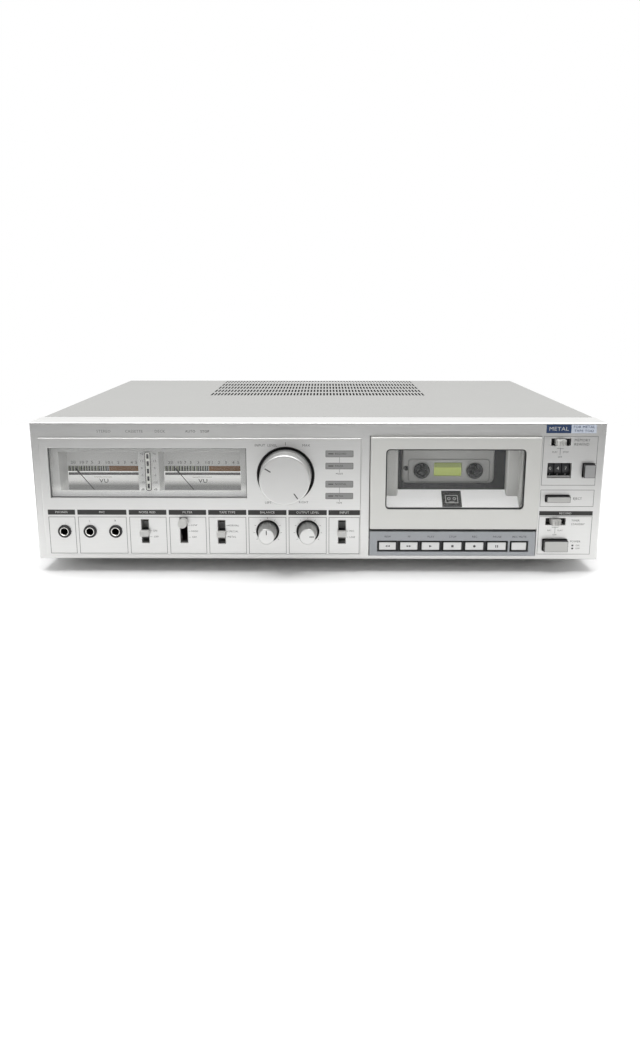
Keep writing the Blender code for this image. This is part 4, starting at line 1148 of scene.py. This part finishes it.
for name, x, shown in (("counter_wheel_hundreds", 178.0, 0), ("counter_wheel_tens", 183.9, 4),
                       ("counter_wheel_units", 189.8, 7)):
    figures = [round_drum(words(str(n), x, AXIS[1], 2.5, AXIS[0] - DRUM - INK, wide=1.1),
                          36 * (n - shown) - 8) for n in range(10)]
    piece(name + "_drum", name + "_body",
          [turning(AXIS, ((1.5, x - 2.65), (DRUM - 0.25, x - 2.65), (DRUM, x - 2.4), (DRUM, x + 2.4),
                          (DRUM - 0.25, x + 2.65), (1.5, x + 2.65)), 60, axis="x", bored=True)],
          dark_grey, extras=((figures, ink_light),), stands_for=(name,), centre=(x, *AXIS))

piece("counter_window_lip", "deck",
      [slab((174.8, 192.6, 65.5, 66.9), ((0.6, 0.3), (0.8, 0.1), (1.1, 0.0), (2.6, 0.0)), 0.3, 3)], well_grey)

# %% [markdown]
# ## Printing on the left field
# Eight dark header bars carry the names of the functions below them. Fine grey rules box in each
# group, and small words stand beside the switches. Everything of one ink is one piece.
# %% Headers, rules and words
HEADERS = ((-207.7, -186.7, "PHONES"), (-184.9, -147.1, "MIC"), (-145.3, -116.3, "NOISE RED."),
           (-114.5, -85.7, "FILTER"), (-84.1, -54.8, "TAPE TYPE"), (-53.4, -23.9, "BALANCE"),
           (-22.4, 7.1, "OUTPUT LEVEL"), (8.4, 32.6, "INPUT"))
bars, bar_words, rules, small = [], [], [], []
for x0, x1, text in HEADERS:
    bars.append(block(x0, x1, -RAISED - INK, -RAISED + INK, 36.2, 40.2))
    bar_words.append(words(text, (x0 + x1) / 2, 38.2, 1.75, -RAISED - INK))
    rules.append(box_rule(x0 + 0.2, x1 - 0.2, 5.0, 34.6, 0.4))
for text, x, z in (("L", -175.9, 31.4), ("R", -156.1, 31.4),
                   ("ON", -125.6, 23.4), ("OFF", -125.0, 18.6),
                   ("LOW", -95.2, 27.9), ("HIGH", -95.0, 23.1), ("OFF", -95.4, 18.3),
                   ("NORMAL", -65.0, 27.7), ("SPECIAL", -65.0, 22.9), ("METAL", -66.2, 18.6),
                   ("MIC", 26.4, 23.4), ("LINE", 26.8, 18.6)):
    small.append(words(text, x, z, 1.45))
for x0, x1, heights in ((-130.2, -128.0, (23.4, 18.6)), (-99.7, -98.2, (27.9, 23.1, 18.3)),
                        (-70.5, -69.3, (27.7, 22.9, 18.6)), (22.3, 23.6, (23.4, 18.6))):
    rules += [line(x0, z, x1, z, 0.25) for z in heights]
for x in (-38.5, -7.5):
    rules += [stripe((x, 23.2), angle, 9.9, 11.1, 0.3, -RAISED - INK, -RAISED + INK)
              for angle in (90, 122, 58, 154, 26, 186, -6, 218, -38)]
rules.append(stripe((-24.2, 67.6), 90, 23.0, 25.5, 0.4, -RAISED - INK, -RAISED + INK))
for text, x, z, size in (("INPUT", -43.5, 90.6, 1.9), ("LEVEL", -34.2, 90.6, 1.9), ("MAX", -8.6, 90.6, 1.9),
                         ("LEFT", -37.8, 46.0, 1.7), ("RIGHT", -10.7, 46.3, 1.7)):
    small.append(words(text, x, z, size))
piece("header_bars", "deck", bars, ink_bar)
piece("header_words", "deck", bar_words, ink_light)

# %% [markdown]
# ## Indicator plates
# Four small plates at the right of the field say which mode is set. Each is a grey inlay with a
# dark frame, a short dark dash and a word. Thin rules join them in pairs.
# %% Indicators
plates, dashes = [], []
for (z0, z1), text in zip(INDICATORS, ("RECORD", "PAUSE", "NORMAL", "METAL")):
    plates.append(slab((6.35, 26.85, z0 + 0.15, z1 - 0.15),
                       ((-1.75, 0.15), (-1.65, 0.0), (-0.95, 0.0)), 0.4, 3))
    middle = (z0 + z1) / 2
    dashes.append(block(8.2, 12.0, -1.83, -1.7, middle - 0.35, middle + 0.35))
    small.append(words(text, 13.3, middle, 1.45, -1.75, align="LEFT"))
    rules.append(box_rule(6.0, 27.2, z0 - 0.2, z1 + 0.2, 0.35, radius=0.6))
for z0, z1 in ((77.5, 81.4), (69.9, 72.1), (54.0, 57.8), (47.0, 48.7)):
    rules.append(line(16.7, z0, 16.7, z1, 0.25))
small += [words("MODE", 16.6, 68.8, 1.3), words("TAPE", 16.6, 45.9, 1.3)]
piece("indicator_plates", "deck", plates, well_grey, extras=((dashes, ink_dark),))
piece("field_rules", "deck", rules, ink_grey)
piece("field_words", "deck", small, ink_dark)

# %% [markdown]
# ## Printing on the base of the fascia
# The right-hand column is printed on the fascia itself: three boxes, a header bar, the switch
# positions and their words. Along the top runs one line of small words, and at the right a
# two-coloured label says which tape the deck takes.
# %% Right column
rules, small = [], []
for x0, x1, z0, z1 in ((170.5, 211.5, 59.5, 97.6), (170.5, 211.5, 42.7, 56.1), (170.5, 211.5, 4.4, 35.0)):
    rules.append(box_rule(x0, x1, z0, z1, 0.35, 0.0))
for text, x, z, size in (
        ("MEMORY", 193.6, 94.5, 2.0), ("REWIND", 193.6, 91.3, 2.0), ("EJECT", 195.6, 49.1, 1.8),
        ("TIMER", 195.6, 31.6, 1.6), ("STANDBY", 195.6, 28.7, 1.6), ("POWER", 195.6, 14.8, 1.6),
        ("ON", 200.2, 11.6, 1.3), ("OFF", 200.2, 9.2, 1.3)):
    small.append(words(text, x, z, size, 0.0, "LEFT"))
for text, x, z in (("PLAY", 179.4, 85.4), ("STOP", 187.6, 85.4), ("OFF", 183.5, 81.6),
                   ("REC", 179.2, 23.7), ("PLAY", 187.4, 23.7), ("OFF", 183.3, 20.2)):
    small.append(words(text, x, z, 1.2, 0.0))
for z0, z1 in ((83.2, 88.6), (21.6, 26.6)):
    rules.append(line(183.4, z0, 183.4, z1, 0.3, 0.0))
    rules.append(line(181.0, z1 - 0.4, 185.8, z1 - 0.4, 0.3, 0.0))
small += [slab((197.0, 198.6, z - 0.7, z + 0.7), ((-INK, 0), (INK, 0)), 0.5, 3) for z in (11.6, 9.2)]
piece("column_rules", "deck", rules, ink_grey)
piece("column_words", "deck", small, ink_dark)
piece("column_header", "deck", [block(170.5, 211.5, -INK, INK, 35.7, 39.2)], ink_bar,
      extras=(([words("RECORD", 190.5, 37.4, 1.6, -INK)], ink_light),))

# %% Top line, label and key names
TOP_Z = 100.9
title = [words(text, x, TOP_Z, size, 0.0) for text, x, size in (
    ("STEREO", -161.5, 2.1), ("CASSETTE", -138.5, 2.0), ("DECK", -119.0, 2.1))]
feature = [words(text, x, TOP_Z, 1.9, 0.0) for text, x in (("AUTO", -96.0), ("STOP", -85.0))]
piece("top_line", "deck", title, ink_grey, extras=((feature, ink_dark),))
piece("tape_label", "deck", [block(172.0, 190.7, -0.08, INK, 99.9, 106.4)], ink_blue,
      extras=(([block(190.72, 209.7, -0.08, INK, 99.9, 106.4)], ink_pale),
              ([words("METAL", 181.3, 103.1, 2.9, -0.08, wide=1.15)], ink_light),
              ([words("FOR METAL", 200.2, 104.6, 1.9, -0.08, wide=1.1),
                words("TAPE TOO", 200.2, 101.6, 1.9, -0.08, wide=1.1)], ink_blue)))
piece("key_words", "deck", [words(text, (key_sides[name][0] + key_sides[name][1]) / 2, 18.8, 1.6, -1.2)
                            for name, text in KEYS.items()], ink_dark)

# %% [markdown]
# ## The works behind the panels
# Flywheel, motor, belt, heads, boards and transformer keep their CAD shapes, because little of
# them shows. They still get real finishes: turned brass, zinc plate, rubber, laminate.
# %% Finishes for the carried-over parts
for node, coat in (
        ("bottom_plate", zinc), ("rear_panel", zinc), ("well_liner", dark_grey),
        ("capstan_flywheel", brass), ("motor_pulley", brass), ("capstan_motor", zinc),
        ("drive_belt", rubber), ("flywheel_bracket", zinc), ("head_block", nickel),
        ("pinch_roller_arm", zinc), ("pinch_roller", rubber), ("counter_housing", black),
        ("main_circuit_board", laminate), ("power_transformer", lamination), ("mains_cord_gland", rubber)):
    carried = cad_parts[node]
    if not carried.material_slots:
        carried.data.materials.append(coat)
    for slot in carried.material_slots:
        slot.material = coat
    print(node, "now has", coat.name)

# %% [markdown]
# ## Floor
# Product shots are made on a pale sweep. Here it is a matt disc, and a ramp on its alpha lets it
# fade into the white backdrop, so no edge shows.
# %% A disc of floor
REACH, FADE = 0.8, 0.38
floor_bm = bmesh.new()
bmesh.ops.create_circle(floor_bm, cap_ends=True, segments=96, radius=REACH)
floor_mesh = bpy.data.meshes.new("floor")
floor_bm.to_mesh(floor_mesh)
floor_bm.free()
floor = bpy.data.objects.new("floor", floor_mesh)
bpy.context.scene.collection.objects.link(floor)
pale = finish("pale floor", "meter_face", (0.95, 0.95, 0.95), 0.8, drift=0.004, grain=(40, 40, 40),
              relief=0.0)
tree, link = pale.node_tree, pale.node_tree.links.new
outward = add(tree, "ShaderNodeVectorMath", operation="LENGTH")
link(tree.nodes["Texture Coordinate"].outputs["Object"], outward.inputs[0])
fade = remapped(tree, outward.outputs["Value"], FADE, REACH * 0.98, 1.0, 0.0)
link(fade, tree.nodes["Principled BSDF"].inputs["Alpha"])
floor.data.materials.append(pale)
print("the floor fades from", FADE, "to", REACH, "m")

# %% [markdown]
# ## Lamps
# One wide soft lamp hangs over the deck and a little in front of it, so the floor stays white right
# up to the deck and goes dark only beneath it. A weak second one lifts the shadows in front.
# %% Two area lamps
def lamp(name, where, towards, size, power):
    """A soft rectangular lamp aimed at a point."""
    data = bpy.data.lights.new(name, "AREA")
    data.shape, data.size, data.size_y, data.energy = "RECTANGLE", size[0], size[1], power
    made = bpy.data.objects.new(name, data)
    bpy.context.scene.collection.objects.link(made)
    made.location = where
    made.rotation_euler = (Vector(towards) - Vector(where)).to_track_quat("-Z", "Y").to_euler()
    print(name, "gives", power, "W")


lamp("overhead", (0.0, -0.08, 1.25), (0.0, -0.05, 0.0), (1.5, 1.0), 18.5)
lamp("front fill", (-0.5, -1.6, 1.1), (0.0, 0.0, 0.05), (0.9, 0.6), 0.5)

# %% [markdown]
# ## Sky
# The brushed front mirrors the floor and the room. The sky stands in for that room: bright behind
# the deck, dimmer behind the camera and darkest below the floor, with a pale wall at either side,
# so the front grades from dark to bright. What the camera sees of it directly is plain white, as a
# lit backdrop is.
# %% Graded sky
sky = bpy.data.worlds.new("studio")
bpy.context.scene.world = sky
sky.use_nodes = True
tree, link = sky.node_tree, sky.node_tree.links.new
way = add(tree, "ShaderNodeTexCoord")
apart = add(tree, "ShaderNodeSeparateXYZ")
link(way.outputs["Generated"], apart.inputs[0])
room = add(tree, "ShaderNodeMath", operation="MULTIPLY")
link(remapped(tree, apart.outputs["Y"], -0.3, 0.25, 0.36, 1.0), room.inputs[0])
link(remapped(tree, apart.outputs["Z"], -0.05, 0.4, 0.25, 1.1), room.inputs[1])
sideways = add(tree, "ShaderNodeMath", operation="ABSOLUTE")
link(apart.outputs["X"], sideways.inputs[0])
walls = add(tree, "ShaderNodeMath", operation="ADD")
link(room.outputs[0], walls.inputs[0])
link(remapped(tree, sideways.outputs[0], 0.2, 0.55, 0.0, 0.13), walls.inputs[1])
backdrop = add(tree, "ShaderNodeBackground", Strength=1.0)
backdrop.inputs["Color"].default_value = (1.0, 1.0, 1.0, 1.0)
link(walls.outputs[0], tree.nodes["Background"].inputs["Strength"])
tree.nodes["Background"].inputs["Color"].default_value = (1.0, 1.0, 1.0, 1.0)
seen = add(tree, "ShaderNodeLightPath")
choice = add(tree, "ShaderNodeMixShader")
link(seen.outputs["Is Camera Ray"], choice.inputs[0])
link(tree.nodes["Background"].outputs[0], choice.inputs[1])
link(backdrop.outputs[0], choice.inputs[2])
link(choice.outputs[0], tree.nodes["World Output"].inputs["Surface"])
print("the sky is ready:", len(tree.nodes), "nodes")

# %% [markdown]
# ## Camera
# The camera stands almost in line with the deck's middle, close to it, and looks down by twelve
# and a half degrees. A lens of 27 mm on a tall frame gives the wide look of the near corners.
# %% Camera
camera = bpy.data.cameras.new("camera")
camera.lens, camera.sensor_width, camera.shift_y = 26.88, 36.0, -0.047
camera.clip_start = 0.01
eye = bpy.data.objects.new("camera", camera)
bpy.context.scene.collection.objects.link(eye)
eye.location = (0.0057, -0.72635, 0.2082)
eye.rotation_euler = (math.radians(77.51), 0.0, math.radians(0.38))
bpy.context.scene.camera = eye
bpy.context.scene.view_settings.view_transform = "Standard"
print("camera at", tuple(eye.location))
